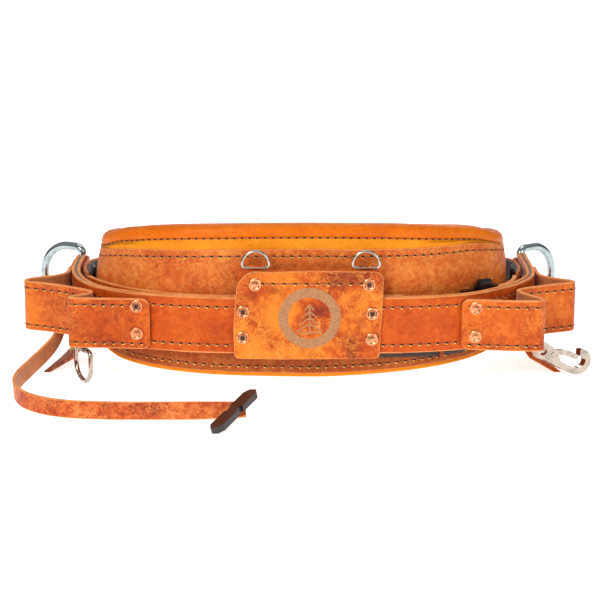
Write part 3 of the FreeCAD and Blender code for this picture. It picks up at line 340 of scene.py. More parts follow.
def metal(name, col, rough, tint=0.0, scratch=1.0, dents=0.0):
    M = Mat(name)
    s = M.noise(900.0, 3, 0.6, 0.0, M.stretch(1, 1, 0.15))
    g = M.noise(120.0, 5, 0.6, 0.5)
    r = M.rng(M.math("ADD", M.math("MULTIPLY", s, 0.5), M.math("MULTIPLY", g, 0.5)), 0.35, 0.65, rough * 0.75, rough * 1.45)
    dull = tuple(c * (1 - 0.28 * (1 + tint)) for c in col[:3]) + (1,)
    c = M.ramp(M.rng(g, 0.36, 0.7), [(0.0, dull), (0.45, col), (1.0, col)])
    n = M.bump(s, 0.05 * scratch, 0.0003)
    if dents:
        n = M.bump(M.noise(420.0, 2, 0.5, 0.3), dents, 0.0006, n)
    return M.set(Base_Color=c, Metallic=1.0, Roughness=r, Normal=n)


def plastic(name, col, rough, grain=0.12):
    M = Mat(name)
    g = M.noise(1600.0, 3, 0.6)
    w = M.noise(55.0, 4, 0.6, 0.6)
    c = M.ramp(M.rng(w, 0.35, 0.7), [(0.0, tuple(x * 0.7 for x in col[:3]) + (1,)), (1.0, tuple(min(1, x * 1.5 + 0.004) for x in col[:3]) + (1,))])
    r = M.rng(w, 0.3, 0.7, rough * 0.8, rough * 1.3)
    return M.set(Base_Color=c, Roughness=r, Normal=M.bump(g, grain, 0.0003), Specular_IOR_Level=0.5)


def webbing(name, a, b):
    """Flat nylon webbing: a herringbone of yarns read from the strap's own lengthwise map."""
    M = Mat(name)
    uv = M.add("ShaderNodeUVMap", uv_map="along").outputs["UV"]
    sep = M.add("ShaderNodeSeparateXYZ", {"Vector": uv})
    u, w = sep.outputs[0], sep.outputs[1]
    rib = M.math("SINE", M.math("MULTIPLY", w, 2 * math.pi * 480))
    zig = M.math("PINGPONG", M.math("MULTIPLY", w, 120.0), 0.5)
    pick = M.math("SINE", M.math("MULTIPLY", M.math("ADD", u, M.math("MULTIPLY", zig, 0.006)), 2 * math.pi * 620))
    h = M.math("ADD", M.math("MULTIPLY", rib, 0.5), M.math("MULTIPLY", pick, 0.5))
    col = M.ramp(M.rng(M.math("ADD", h, M.noise(300.0, 3)), -0.6, 1.6), [(0.0, a), (1.0, b)])
    return M.set(Base_Color=col, Roughness=0.75, Normal=M.bump(h, 0.6, 0.0004), Sheen_Weight=0.3)


def flat_noise(name, a, b, scale, rough, strength=0.3, dist=0.0003):
    M = Mat(name)
    f = M.noise(scale, 4, 0.65, 0.2)
    return M.set(Base_Color=M.ramp(M.rng(f, 0.3, 0.7), [(0.0, a), (1.0, b)]), Roughness=rough, Normal=M.bump(f, strength, dist))


GRAIN = leather("leather_strap", srgb(176, 62, 10), srgb(210, 84, 13), srgb(228, 108, 24), 0.0, veins=0.3, blotch=0.7, rough=0.38, bruise=0.45, crease=(210.0, 0.05, 0.22))
# painted shade: the pad face is darkened towards its lower edge, standing in for the shade under the strap
GRAIN_PAD = leather("leather_pad", srgb(184, 74, 22), srgb(222, 100, 32), srgb(246, 146, 60), 2.3, veins=0.5, blotch=0.75, rough=0.42, wrinkle=2.0, grain=1.5, share=(0.35, 0.3, 0.35), low_shade=(0.030, 0.048, 0.6), bruise=0.4, crease=(150.0, 0.06, 0.9))
GRAIN_PLATE = leather("leather_plate", srgb(138, 44, 20), srgb(200, 78, 16), srgb(242, 134, 34), 6.6, veins=1.2, blotch=1.0, rough=0.32, wrinkle=1.5, share=(0.6, 0.25, 0.15), bruise=1.2, crease=(62.0, 0.03, 0.95))
GRAIN_LOOP = leather("leather_loop", srgb(166, 60, 16), srgb(212, 88, 18), srgb(240, 126, 32), 4.1, veins=0.6, blotch=0.8, rough=0.36, wrinkle=1.6, share=(0.45, 0.3, 0.25), bruise=0.7, crease=(110.0, 0.06, 0.7))
GRAIN_THONG = leather("leather_thong", srgb(150, 50, 24), srgb(206, 82, 30), srgb(240, 134, 62), 8.2, veins=0.8, blotch=0.9, rough=0.4, wrinkle=1.3, bruise=0.7, crease=(120.0, 0.07, 1.0))
GRAIN_BAND = leather("leather_waist", srgb(104, 38, 16), srgb(150, 58, 24), srgb(186, 86, 38), 11.0, veins=0.3, blotch=0.8, rough=0.42)
GOLD = leather("leather_roll", srgb(214, 94, 2), srgb(232, 112, 4), srgb(242, 132, 10), 13.0, veins=0.05, blotch=0.5, rough=0.3, grain=0.4, wrinkle=0.7, spec=0.15, bruise=0.2)
GOLD_BAND = leather("leather_band", srgb(232, 126, 6), srgb(244, 146, 14), srgb(250, 166, 36), 15.0, veins=0.05, blotch=0.5, rough=0.36, grain=0.4, wrinkle=1.2, spec=0.15, bruise=0.15)
FLESH = flesh("leather_flesh", srgb(150, 78, 34), srgb(212, 134, 68))
FLESH_GREY = flesh("leather_flesh_grey", srgb(112, 72, 62), srgb(170, 122, 104), 3.0)
EDGE = cut_edge("leather_cut_edge", srgb(206, 104, 40), srgb(250, 172, 98))
EDGE_DARK = cut_edge("leather_cut_edge_burnished", srgb(150, 68, 26), srgb(210, 124, 60))
THREAD = flat_noise("thread_brown", srgb(140, 74, 44), srgb(204, 124, 74), 1400.0, 0.6)
THREAD_TAN = flat_noise("thread_tan", srgb(120, 70, 40), srgb(190, 124, 72), 1400.0, 0.6)
# painted shade: near-black discs standing in for the shade inside the needle holes
HOLE_SHADE = flat_noise("needle_hole_painted_shade", srgb(12, 4, 2), srgb(30, 10, 5), 900.0, 0.9)
# painted highlight: a pale yellow standing in for light catching the leather beside each needle hole
RIM_HIGHLIGHT = flat_noise("needle_rim_painted_highlight", srgb(246, 160, 40), srgb(255, 210, 90), 900.0, 0.5)
COPPER = metal("copper_polished", srgb(232, 158, 112), 0.24, 0.2, 0.6, 0.0)
BRASS = metal("brass_polished", srgb(228, 184, 96), 0.2)
STEEL = metal("steel_polished_rings", srgb(172, 184, 186), 0.1)
NICKEL = metal("nickel_plate", srgb(184, 172, 158), 0.09)
BLACK = plastic("plastic_black_gloss", srgb(16, 16, 18), 0.16)
BLACK_MATTE = plastic("plastic_toggle", srgb(40, 30, 26), 0.32, 0.3)
WEB = webbing("webbing_brown", srgb(34, 24, 22), srgb(84, 66, 60))
WEB_BLACK = webbing("webbing_black", srgb(12, 11, 12), srgb(48, 44, 46))
CORE = webbing("webbing_core_grey", srgb(62, 54, 50), srgb(128, 116, 106))
FOAM = flat_noise("foam_black", srgb(20, 20, 20), srgb(46, 46, 46), 700.0, 0.9, 0.6, 0.0005)
STAMP = flat_noise("stamp_tone", srgb(150, 98, 60), srgb(196, 138, 86), 500.0, 0.6, 0.4, 0.0003)


# ---------------------------------------------------------------- mesh tools
class Acc:
    """Collects vertices and faces for one piece."""

    def __init__(self):
        self.v, self.f, self.m, self.uv = [], [], [], []

    def vert(self, x, y, z):
        self.v.append(W(x, y, z))
        return len(self.v) - 1

    def face(self, idx, mat=0):
        self.f.append(tuple(idx))
        self.m.append(mat)

    def build(self, name, mats, body, replaces=(), smooth=True):
        me = bpy.data.meshes.new(name)
        me.from_pydata([tuple(p) for p in self.v], [], self.f)
        for m in mats:
            me.materials.append(m)
        me.polygons.foreach_set("material_index", self.m)
        me.polygons.foreach_set("use_smooth", [smooth] * len(self.f))
        if self.uv:
            layer = me.uv_layers.new(name="along")
            for poly in me.polygons:
                for li in poly.loop_indices:
                    layer.data[li].uv = self.uv[me.loops[li].vertex_index]
        bm = bmesh.new()
        bm.from_mesh(me)
        bmesh.ops.recalc_face_normals(bm, faces=bm.faces)
        bm.to_mesh(me)
        bm.free()
        me.update()
        ob = bpy.data.objects.new(name, me)
        COL.objects.link(ob)
        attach(ob, body)
        if replaces:
            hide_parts(*replaces)
        return ob


def tube(acc, pts, radii, sides=8, mat=0, caps=True):
    """A tube through points with parallel-carried frames."""
    rings = []
    t0 = (pts[1] - pts[0]).normalized()
    n = t0.orthogonal().normalized()
    for i, p in enumerate(pts):
        t = (pts[min(i + 1, len(pts) - 1)] - pts[max(i - 1, 0)]).normalized()
        n = (n - t * n.dot(t)).normalized()
        b = t.cross(n)
        ring = []
        for k in range(sides):
            a = 2 * math.pi * k / sides
            q = p + (n * math.cos(a) + b * math.sin(a)) * radii[i]
            ring.append(acc.vert(*q))
        rings.append(ring)
    for r0, r1 in zip(rings, rings[1:]):
        for k in range(sides):
            acc.face((r0[k], r0[(k + 1) % sides], r1[(k + 1) % sides], r1[k]), mat)
    if caps:
        acc.face(rings[0][::-1], mat)
        acc.face(rings[-1], mat)


def disc(acc, c, n, u, ru, rv, mat, lift=0.0, dome=0.0, sides=8):
    """A small oval patch lying on a surface with normal n; its long way is along u."""
    v = n.cross(u).normalized()
    mid = acc.vert(*(c + n * (lift + dome)))
    ring = [acc.vert(*(c + n * lift + u * (ru * math.cos(2 * math.pi * k / sides)) + v * (rv * math.sin(2 * math.pi * k / sides)))) for k in range(sides)]
    for k in range(sides):
        acc.face((mid, ring[k], ring[(k + 1) % sides]), mat)


def stitch_row(acc, surf, s0, s1, pitch, normal_at, r=0.5, slant=0.35, first=0.0):
    """Lock stitches from s0 to s1. surf(s) gives the point on the leather, normal_at(s) the way out of it."""
    n = max(1, int(round((s1 - s0) / pitch)))
    pitch = (s1 - s0) / n
    for i in range(n + 1):
        s = s0 + pitch * i
        c, nn = surf(s), normal_at(s)
        u = (surf(s + 0.6) - surf(s - 0.6)).normalized()
        # needle hole: a flat dark disc of painted shade
        disc(acc, c, nn, u, 1.75, 1.05, 1, 0.3)
        # beside each hole, on its lower side: a small raised rim in the third stitch material, mostly the painted
        # highlight
        w = nn.cross(u).normalized()
        if w.z > 0:
            w = -w
        disc(acc, c + w * 1.1 - u * 0.5, nn, u, 1.2, 0.55, 2, 0.34, 0.1)
        if i == n:
            break
        pts, rad = [], []
        for t, h, q in ((0.15, -0.1, 0.8), (0.21, 0.22, 1.0), (0.34, 0.4, 1.15), (0.5, 0.46, 1.2), (0.66, 0.4, 1.15), (0.79, 0.22, 1.0), (0.85, -0.1, 0.8)):
            p = surf(s + pitch * t)
            m = normal_at(s + pitch * t)
            side = m.cross(u).normalized()
            pts.append(p + m * h + side * (slant * (t - 0.5)))
            rad.append(r * q)
        tube(acc, pts, rad, 6, 0)


def strap(name, body, replaces, segs, og, of, z0, z1, mats, s0=0.0, s1=None, step=2.6, re=0.8, rows=(), amp=0.3,
          fine=0.12, r0=0.0, r1=0.0, wave=0.35, seed=0.0, bulge=0.0, extra=None, stitch_mats=None, pitch=8.4, skip=(), ease=1.2, zf0=None, zf1=None,
          skew=None):
    """A leather or webbing strap on edge. og is the offset of its grain side from the path and of that of its flesh side.
    rows are the heights of its stitch rows; r0, r1 round the corners of its two ends."""
    L = total(segs)
    s1 = L if s1 is None else s1
    e = 1 if of > og else -1
    t = abs(of - og)
    re = min(re, t * 0.45)
    n = max(6, int((s1 - s0) / step))
    ss = {round(s0 + (s1 - s0) * i / n, 4) for i in range(n + 1)}
    for end, r, sg in ((s0, r0, 1), (s1, r1, -1)):
        if r:
            ss |= {round(end + sg * r * (1 - math.cos(math.pi / 2 * k / 9)), 4) for k in range(10)}
    ss = sorted(ss)
    keep = [ss[0]]
    for s in ss[1:]:
        if s - keep[-1] > 0.08:
            keep.append(s)
    ss = keep
    lines = {z0 + re, z1 - re}
    k = int((z1 - z0) / 3.2)
    lines |= {z0 + re + (z1 - z0 - 2 * re) * i / k for i in range(k + 1)}
    for zr in rows:
        lines |= {zr - 1.8, zr - 0.9, zr, zr + 0.9, zr + 1.8}
    lines = sorted(lines)

    def zlim(s):
        a, b = z0, z1
        if zf0:
            a = zf0(s)
        if zf1:
            b = zf1(s)
        w = wave * nz(s / 46.0, seed + 3.3)
        w2 = wave * nz(s / 46.0, seed + 8.8)
        d = 0.0
        for end, r, sg in ((s0, r0, 1), (s1, r1, -1)):
            q = (s - end) * sg
            if r and q < r:
                d = max(d, r - math.sqrt(max(0.0, r * r - (r - q) ** 2)))
        return a + d + w, b - d + w2

    def disp(s, z):
        d = amp * nz(s / 38.0, z / 30.0, seed) + fine * nz(s / 8.0, z / 8.0, seed + 5)
        for zr in rows:
            d -= 0.34 * math.exp(-((z - zr) / 1.05) ** 2)
        m = (z - (z0 + z1) / 2) / ((z1 - z0) / 2)
        d += bulge * (1 - m * m)
        if extra:
            d += extra(s, z)
        return d

    def frame_at(s):
        return smooth_angle(segs, s, ease)

    def point(s, o, z):
        p, a = frame_at(s)
        if skew:
            o = o + skew(s, z)
        return p[0] - math.sin(a) * o, p[1] + math.cos(a) * o, z

    acc = Acc()
    rings = []
    kinds = None
    for s in ss:
        a, b = zlim(s)
        ring, kind = [], []
        zz = [min(max(z + (0 if 0 < i < len(lines) - 1 else 0), a + re), b - re) for i, z in enumerate(lines)]
        zz[0], zz[-1] = a + re, b - re
        for z in zz:
            ring.append((og - e * disp(s, z), z))
            kind.append(0)
        dt = disp(s, b - re) * 0.5
        for ang in (30, 60, 90):
            q = math.radians(ang)
            ring.append((og - e * dt * math.cos(q) + e * re * (1 - math.cos(q)), b - re + re * math.sin(q)))
            kind.append(2)
        for ang in (90, 60, 30):
            q = math.radians(ang)
            ring.append((of - e * re * (1 - math.cos(q)), b - re + re * math.sin(q)))
            kind.append(2)
        for z in zz[::-1]:
            ring.append((of - e * 0.4 * amp * nz(s / 30.0, z / 25.0, seed + 9), z))
            kind.append(1)
        for ang in (30, 60, 90):
            q = math.radians(ang)
            ring.append((of - e * re * (1 - math.cos(q)), a + re - re * math.sin(q)))
            kind.append(2)
        for ang in (90, 60, 30):
            q = math.radians(ang)
            ring.append((og + e * re * (1 - math.cos(q)), a + re - re * math.sin(q)))
            kind.append(2)
        idx = []
        for o, z in ring:
            idx.append(acc.vert(*point(s, o, z)))
            acc.uv.append((s / 1000, z / 1000))
        rings.append(idx)
        kinds = kind
    m = len(rings[0])
    nl = len(lines)
    for r0_, r1_ in zip(rings, rings[1:]):
        for k in range(m):
            k2 = (k + 1) % m
            if k < nl - 1:
                mat = 0
            elif nl + 6 <= k < 2 * nl + 5:
                mat = 1
            else:
                mat = 2
            acc.face((r0_[k], r0_[k2], r1_[k2], r1_[k]), mat)
    for ring in (rings[0][::-1], rings[-1]):
        acc.face(ring, 2)
    ob = acc.build(name, mats, body, replaces)
    if rows:
        sa = Acc()
        for zr in rows:
            def surf(s, zr=zr):
                return Vector(point(s, og - e * disp(s, zr), zr + wave * nz(s / 46.0, seed + 3.3)))

            def norm(s, zr=zr):
                p, a_ = frame_at(s)
                return Vector((math.sin(a_), -math.cos(a_), 0)) * e
            spans, cur = [], s0 + max(4.0, r0 * 0.7)
            end = s1 - max(4.0, r1 * 0.7)
            for x0, x1 in sorted(skip):
                if x0 > cur:
                    spans.append((cur, min(x0, end)))
                cur = max(cur, x1)
            if cur < end:
                spans.append((cur, end))
            for x0, x1 in spans:
                if x1 - x0 > pitch:
                    stitch_row(sa, surf, x0, x1, pitch, norm)
        sa.build(name + "_stitching", stitch_mats or [THREAD, HOLE_SHADE, RIM_HIGHLIGHT], body)
    return ob, point, disp, frame_at


out_path, pad_path = path(P_OUT), path(P_PAD)
L_OUT, L_PAD = total(out_path), total(pad_path)

# ---------------------------------------------------------------- D-ring strap: leather, woven core, leather
sp0, sp1 = where_x(out_path, -66), where_x(out_path, 74)
strap("strap_outer_leather_skin", "belt", ["strap_outer_leather"], out_path, -0.1, 2.9, STRAP_Z0, STRAP_Z1, [GRAIN, FLESH, EDGE], rows=(STRAP_Z0 + 7.6, STRAP_Z1 - 8.6),
      seed=1.0, skip=((sp0 + 4, sp1 - 4),), amp=0.35, re=0.9)
strap("strap_core_webbing_skin", "belt", ["strap_core_webbing"], out_path, 3.05, 4.85, STRAP_Z0 + 0.9, STRAP_Z1 - 0.9, [CORE, CORE, CORE], s0=1, s1=L_OUT - 1, amp=0.05, fine=0.0, step=4)
strap("strap_inner_leather_skin", "belt", ["strap_inner_leather"], out_path, 8.0, 5.0, STRAP_Z0, STRAP_Z1, [GRAIN, FLESH, EDGE], rows=(STRAP_Z0 + 7.6, STRAP_Z1 - 8.6), seed=2.0, amp=0.2, re=0.9, step=3.2)

# ---------------------------------------------------------------- tool loops


def crease_l(s, z):
    # two upright creases just past the fold, as the leather buckles there
    d = 0.0
    for c, w, h in ((92.0, 1.6, -0.55), (96.5, 1.5, 0.5), (101.0, 1.7, -0.5)):
        d += h * math.exp(-((s - c - 0.6 * nz(z / 12.0, 4.0)) / w) ** 2)
    return d


lpL, lpR = path(P_LOOPL, 0.48), path(P_LOOPR, 0.48)
strap("tool_loop_left_leather", "belt", ["tool_loop_left"], lpL, 2.0, -2.0, LOOP_Z0, LOOP_Z1, [GRAIN_LOOP, FLESH, EDGE], rows=(LOOP_Z0 + 5.2, LOOP_Z1 - 6.4), r0=7.0, seed=4.0,
      amp=0.35, re=1.1, step=1.6, extra=crease_l, skip=((0, 7.5),))
strap("tool_loop_right_leather", "belt", ["tool_loop_right"], lpR, -2.0, 2.0, LOOP_Z0, LOOP_Z1, [GRAIN_LOOP, FLESH, EDGE], rows=(LOOP_Z0 + 5.2, LOOP_Z1 - 6.4), r0=7.0, seed=5.0,
      amp=0.35, re=1.1, step=1.6, skip=((0, 7.5),))

# ---------------------------------------------------------------- pad strap, webbing and right end
strap("pad_strap_leather_skin", "belt", ["pad_strap_leather"], path(P_PSTRAP), 0, 3.5, 33, 87, [GRAIN_LOOP, FLESH, EDGE], rows=(37.5, 83.0), seed=7.0, amp=0.25, stitch_mats=[THREAD_TAN, HOLE_SHADE, RIM_HIGHLIGHT])
strap("pad_webbing_weave", "belt", ["pad_webbing"], path(P_WEB), 0, 1.8, 28, 82.5, [WEB, WEB, WEB], amp=0.1, fine=0.0, re=0.5)
strap("pad_strap_right_skin", "belt", ["pad_strap_right"], path(P_PSR), -2, 2, 35, 86, [GRAIN_LOOP, FLESH, EDGE], rows=(40, 81.0), seed=8.0, amp=0.2)

# ---------------------------------------------------------------- waist strap
bl, br = path(P_BANDL), path(P_BANDR)


def billet_dip(s, z):
    return 0.0


strap("waist_billet_skin", "belt", ["waist_billet_left"], bl, 0, -3.6, WAIST_Z0, WAIST_Z1, [GRAIN_BAND, FLESH, EDGE_DARK], rows=(WAIST_Z0 + 4.5, WAIST_Z1 - 4.5), seed=9.0, amp=0.3, r1=22.0)
strap("waist_webbing_left_weave", "belt", ["waist_webbing_left"], bl, -3.75, -5.75, WAIST_Z0 + 1, WAIST_Z1 - 1, [WEB_BLACK] * 3, s0=6, s1=where_x(bl, -58), amp=0.05, fine=0.0, re=0.5)
strap("waist_strap_right_skin", "belt", ["waist_strap_right"], br, -0.05, -3.25, WAIST_Z0, WAIST_Z1, [GRAIN_BAND, FLESH, EDGE_DARK], rows=(WAIST_Z0 + 4.5, WAIST_Z1 - 4.5), s0=10.1, seed=10.0, amp=0.25)
strap("waist_webbing_right_weave", "belt", ["waist_webbing_right"], br, -3.4, -5.4, WAIST_Z0 + 1, WAIST_Z1 - 1, [WEB_BLACK] * 3, s0=52, s1=total(br) - 6, amp=0.05, fine=0.0, re=0.5)


# ---------------------------------------------------------------- back cushion
def lean(x, z):
    """The cushion's top leans in, most at its two ends."""
    if z < 88:
        return 0.0
    k = 1.2 + (9.0 if x < 0 else 5.6) * min(1.0, abs(x) / 188.0) ** 3
    return k * ((z - 88) / 50.0) ** 1.6


def pad_point(s, o, z):
    p, a = smooth_angle(pad_path, s, 2.0)
    o += lean(p[0], z)
    return p[0] - math.sin(a) * o, p[1] + math.cos(a) * o, z


def pad_golden():
    acc = Acc()
    s0, s1 = 1.2, L_PAD - 1.2
    n = 250
    rings = []
    for i in range(n + 1):
        u = i / n
        s = s0 + (s1 - s0) * (u + 0.0)
        d_end = min(s - s0, s1 - s)
        p, _ = place(pad_path, s)
        x = p[0]
        T, B, F = curve_at(TOPS, x), curve_at(BOTS, x), curve_at(FACE_T, x)
        k_end = max(0.0, 1 - d_end / 30.0)
        T -= 6.0 * k_end ** 1.6
        F -= 2.5 * k_end ** 1.3
        w = 0.35 * nz(s / 30.0, 1.0)
        sq = 1.0 if d_end > 5 else math.sqrt(max(0.0, 1 - (1 - d_end / 5.0) ** 2))
        sq = 0.35 + 0.65 * sq
        seam = T - 12.0
        puff = 0.5 * nz(s / 11.0, 7.7) * 0.5
        prof = [(3.0, B + 0.3), (1.0, B + 0.5), (0.1, B + 1.4), (0.0, B + 2.6), (0.8, B + 3.6), (3.7, B + 4.2), (3.8, (B + F) / 2), (3.9, F - 4), (3.2, F - 1.4),
                (0.9, F - 0.4), (0.3, F + 1.2), (0.1 + puff * 0.3, (F + seam) / 2 - 1.0), (0.1 + puff * 0.4, (F + seam) / 2 + 1.5), (0.3, seam - 2.2), (0.9, seam - 0.8),
                (1.5, seam), (0.8, seam + 0.7), (-0.1, seam + 2.0), (-0.55 + w * 0.4, seam + 4.4), (-0.3 + w * 0.3, seam + 7.4), (0.9, T - 2.6 + w * 0.5), (2.8, T - 1.1 + w * 0.5),
                (5.2, T - 0.3 + w * 0.5), (8.0, T + w * 0.4), (11.0, T - 0.3 + w * 0.4), (14.2, T - 1.4), (16.8, T - 3.6), (18.4, T - 6.8), (19.0, T - 11.0), (18.4, T - 14.0), (19.2, T - 17.5)]
        zz0, zz1 = T - 22.0, B + 10.0
        for k in range(9):
            z = zz0 + (zz1 - zz0) * k / 8
            prof.append((19.3 + 0.5 * math.sin(math.pi * k / 8) + 0.25 * nz(s / 20, z / 20, 3), z))
        prof += [(19.0, B + 5.0), (18.2, B + 1.8), (16.4, B + 0.4), (12.0, B + 0.1), (7.0, B + 0.1)]
        cn = sum(q[0] for q in prof) / len(prof)
        cz = (T + B) / 2
        idx = []
        for o, z in prof:
            oo = cn + (o - cn) * sq
            zz = cz + (z - cz) * (0.985 + 0.015 * sq)
            idx.append(acc.vert(*pad_point(s, oo, zz)))
        rings.append(idx)
    m = len(rings[0])
    for a, b in zip(rings, rings[1:]):
        for k in range(m):
            acc.face((a[k], a[(k + 1) % m], b[(k + 1) % m], b[k]), 1 if 8 <= k <= 14 or k < 6 else 0)
    acc.face(rings[0][::-1], 0)
    acc.face(rings[-1], 0)
    ob = acc.build("pad_lining_and_roll", [GOLD, GOLD_BAND], "belt", ["pad_lining_leather", "pad_top_roll", "pad_lower_edge", "pad_foam_core"])
    sa = Acc()

    def crown(s):
        p, _ = place(pad_path, s)
        return curve_at(TOPS, p[0]) - 11.5 * max(0.0, 1 - min(s, L_PAD - s) / 52.0) ** 1.25

    def surf(s):
        return Vector(pad_point(s, 1.15, crown(s) - 12.1))

    def norm(s):
        _, a = smooth_angle(pad_path, s, 2.0)
        return Vector((math.sin(a), -math.cos(a), 0))
    stitch_row(sa, surf, 6.0, L_PAD - 6.0, 7.0, norm, 0.42)
    # seam stitches on the inner side, under the roll
    def surf2(s):
        return Vector(pad_point(s, 18.7, crown(s) - 14.0))

    def norm2(s):
        return -norm(s)
    stitch_row(sa, surf2, 6.0, L_PAD - 6.0, 7.0, norm2, 0.42)
    sa.build("pad_roll_stitching", [THREAD, HOLE_SHADE, GOLD], "belt")


pad_golden()


def pad_wrinkle(s, z):
    p, _ = place(pad_path, s)
    k = min(1.0, abs(p[0]) / 190.0) ** 2
    d = 0.9 * k * nz(s / 7.0, z / 60.0, 21.0) + 0.35 * nz(s / 14.0, z / 14.0, 4.0)
    # drag lines running down and out from the middle
    d += 0.35 * nz((s + z * 0.8) / 9.0, (s - z) / 40.0, 31.0)
    return d * max(0.0, min(1.0, (z - 20) / 12)) * 0.8


def fz0(s):
    p, _ = place(pad_path, s)
    return curve_at(BOTS, p[0]) + 3.6


def fz1(s):
    p, _ = place(pad_path, s)
    return curve_at(FACE_T, p[0]) - 5.0 * max(0.0, 1 - min(s, L_PAD - s) / 52.0) ** 1.3


def build_pad_face():
    """The brown outer leather: its own builder because its top and bottom edges curve."""
    acc = Acc()
    s0, s1 = 0.4, L_PAD - 0.4
    n = 300
    nzl = 40
    e = 1
    rows_off = (6.6, 6.4)  # below the top edge, above the bottom edge
    rings = []

    def disp(s, z):
        a, b = fz0(s), fz1(s)
        d = 0.45 * nz(s / 40.0, z / 34.0, 2.0) + pad_wrinkle(s, z)
        for zr in (b - rows_off[0], a + rows_off[1]):
            d -= 0.55 * math.exp(-((z - zr) / 1.3) ** 2)
        m = (z - (a + b) / 2) / ((b - a) / 2)
        d += 0.9 * (1 - abs(m) ** 2.5)
        return d
    for i in range(n + 1):
        s = s0 + (s1 - s0) * i / n
        a, b = fz0(s) + 0.3 * nz(s / 40, 5), fz1(s) + 0.4 * nz(s / 50, 6)
        zz = []
        for k in range(nzl + 1):
            zz.append(a + 0.8 + (b - a - 1.6) * k / nzl)
        zz += [b - rows_off[0] - 1.0, b - rows_off[0], b - rows_off[0] + 1.0, a + rows_off[1] - 1.0, a + rows_off[1], a + rows_off[1] + 1.0]
        zz = sorted(zz)
        ring = [(-disp(s, z), z, 0) for z in zz]
        for ang in (30, 60, 90):
            q = math.radians(ang)
            ring.append((0.8 * (1 - math.cos(q)) - disp(s, zz[-1]) * math.cos(q), b - 0.8 + 0.8 * math.sin(q), 2))
        ring.append((2.6, b, 2))
        ring.append((3.4, b - 0.8, 2))
        for z in (b - 8, (a + b) / 2, a + 8):
            ring.append((3.4, z, 1))
        ring.append((3.4, a + 0.8, 2))
        ring.append((2.6, a, 2))
        for ang in (90, 60, 30):
            q = math.radians(ang)
            ring.append((0.8 * (1 - math.cos(q)) - disp(s, zz[0]) * math.cos(q), a + 0.8 - 0.8 * math.sin(q), 2))
        idx = [acc.vert(*pad_point(s, o, z)) for o, z, _ in ring]
        rings.append(idx)
    nl = len(zz)
    m = len(rings[0])
    for a, b in zip(rings, rings[1:]):
        for k in range(m):
            mat = 0 if k < nl - 1 else (1 if nl + 4 <= k < nl + 8 else 2)
            acc.face((a[k], a[(k + 1) % m], b[(k + 1) % m], b[k]), mat)
    acc.face(rings[0][::-1], 2)
    acc.face(rings[-1], 2)
    ob = acc.build("pad_face_skin", [GRAIN_PAD, FLESH, EDGE], "belt", ["pad_face_leather"])
    sa = Acc()
    for which in (0, 1):
        def zrow(s):
            return (fz1(s) - rows_off[0]) if which == 0 else (fz0(s) + rows_off[1])

        def surf(s):
            z = zrow(s)
            return Vector(pad_point(s, -disp(s, z), z))

        def norm(s):
            _, a = smooth_angle(pad_path, s, 2.0)
            return Vector((math.sin(a), -math.cos(a), 0))
        stitch_row(sa, surf, 5.0, L_PAD - 5.0, 8.0, norm, 0.5)
    sa.build("pad_face_stitching", [THREAD, HOLE_SHADE, RIM_HIGHLIGHT], "belt")


build_pad_face()


# ---------------------------------------------------------------- accessory plate
def plate_y(x, z):
    """Front face of the plate: nearly flat, pulled in at the rivets, a little full between them."""
    y = 0.25 - 0.55 * math.exp(-(((x - 3) / 48) ** 2 + ((z - 62) / 30) ** 2))
    y += 0.35 * nz(x / 26.0, z / 22.0, 3.0) + 0.12 * nz(x / 7.0, z / 7.0, 8.0)
    y += 0.3 * nz((x + z) / 10.0, (x - z) / 30.0, 12.0) * 0.5
    for rx, rz in ((-44.4, 100.0), (56.9, 99.8), (-55.3, 75.0), (-55.7, 51.2), (59.8, 73.4), (59.4, 49.9)):
        y += 0.5 * math.exp(-(((x - rx) ** 2 + (z - rz) ** 2) / 40.0))
    y += 0.34 * math.exp(-((z - 100.6) / 1.0) ** 2) * (1 if -41 < x < 54 else 0)
    return min(y, 1.2)


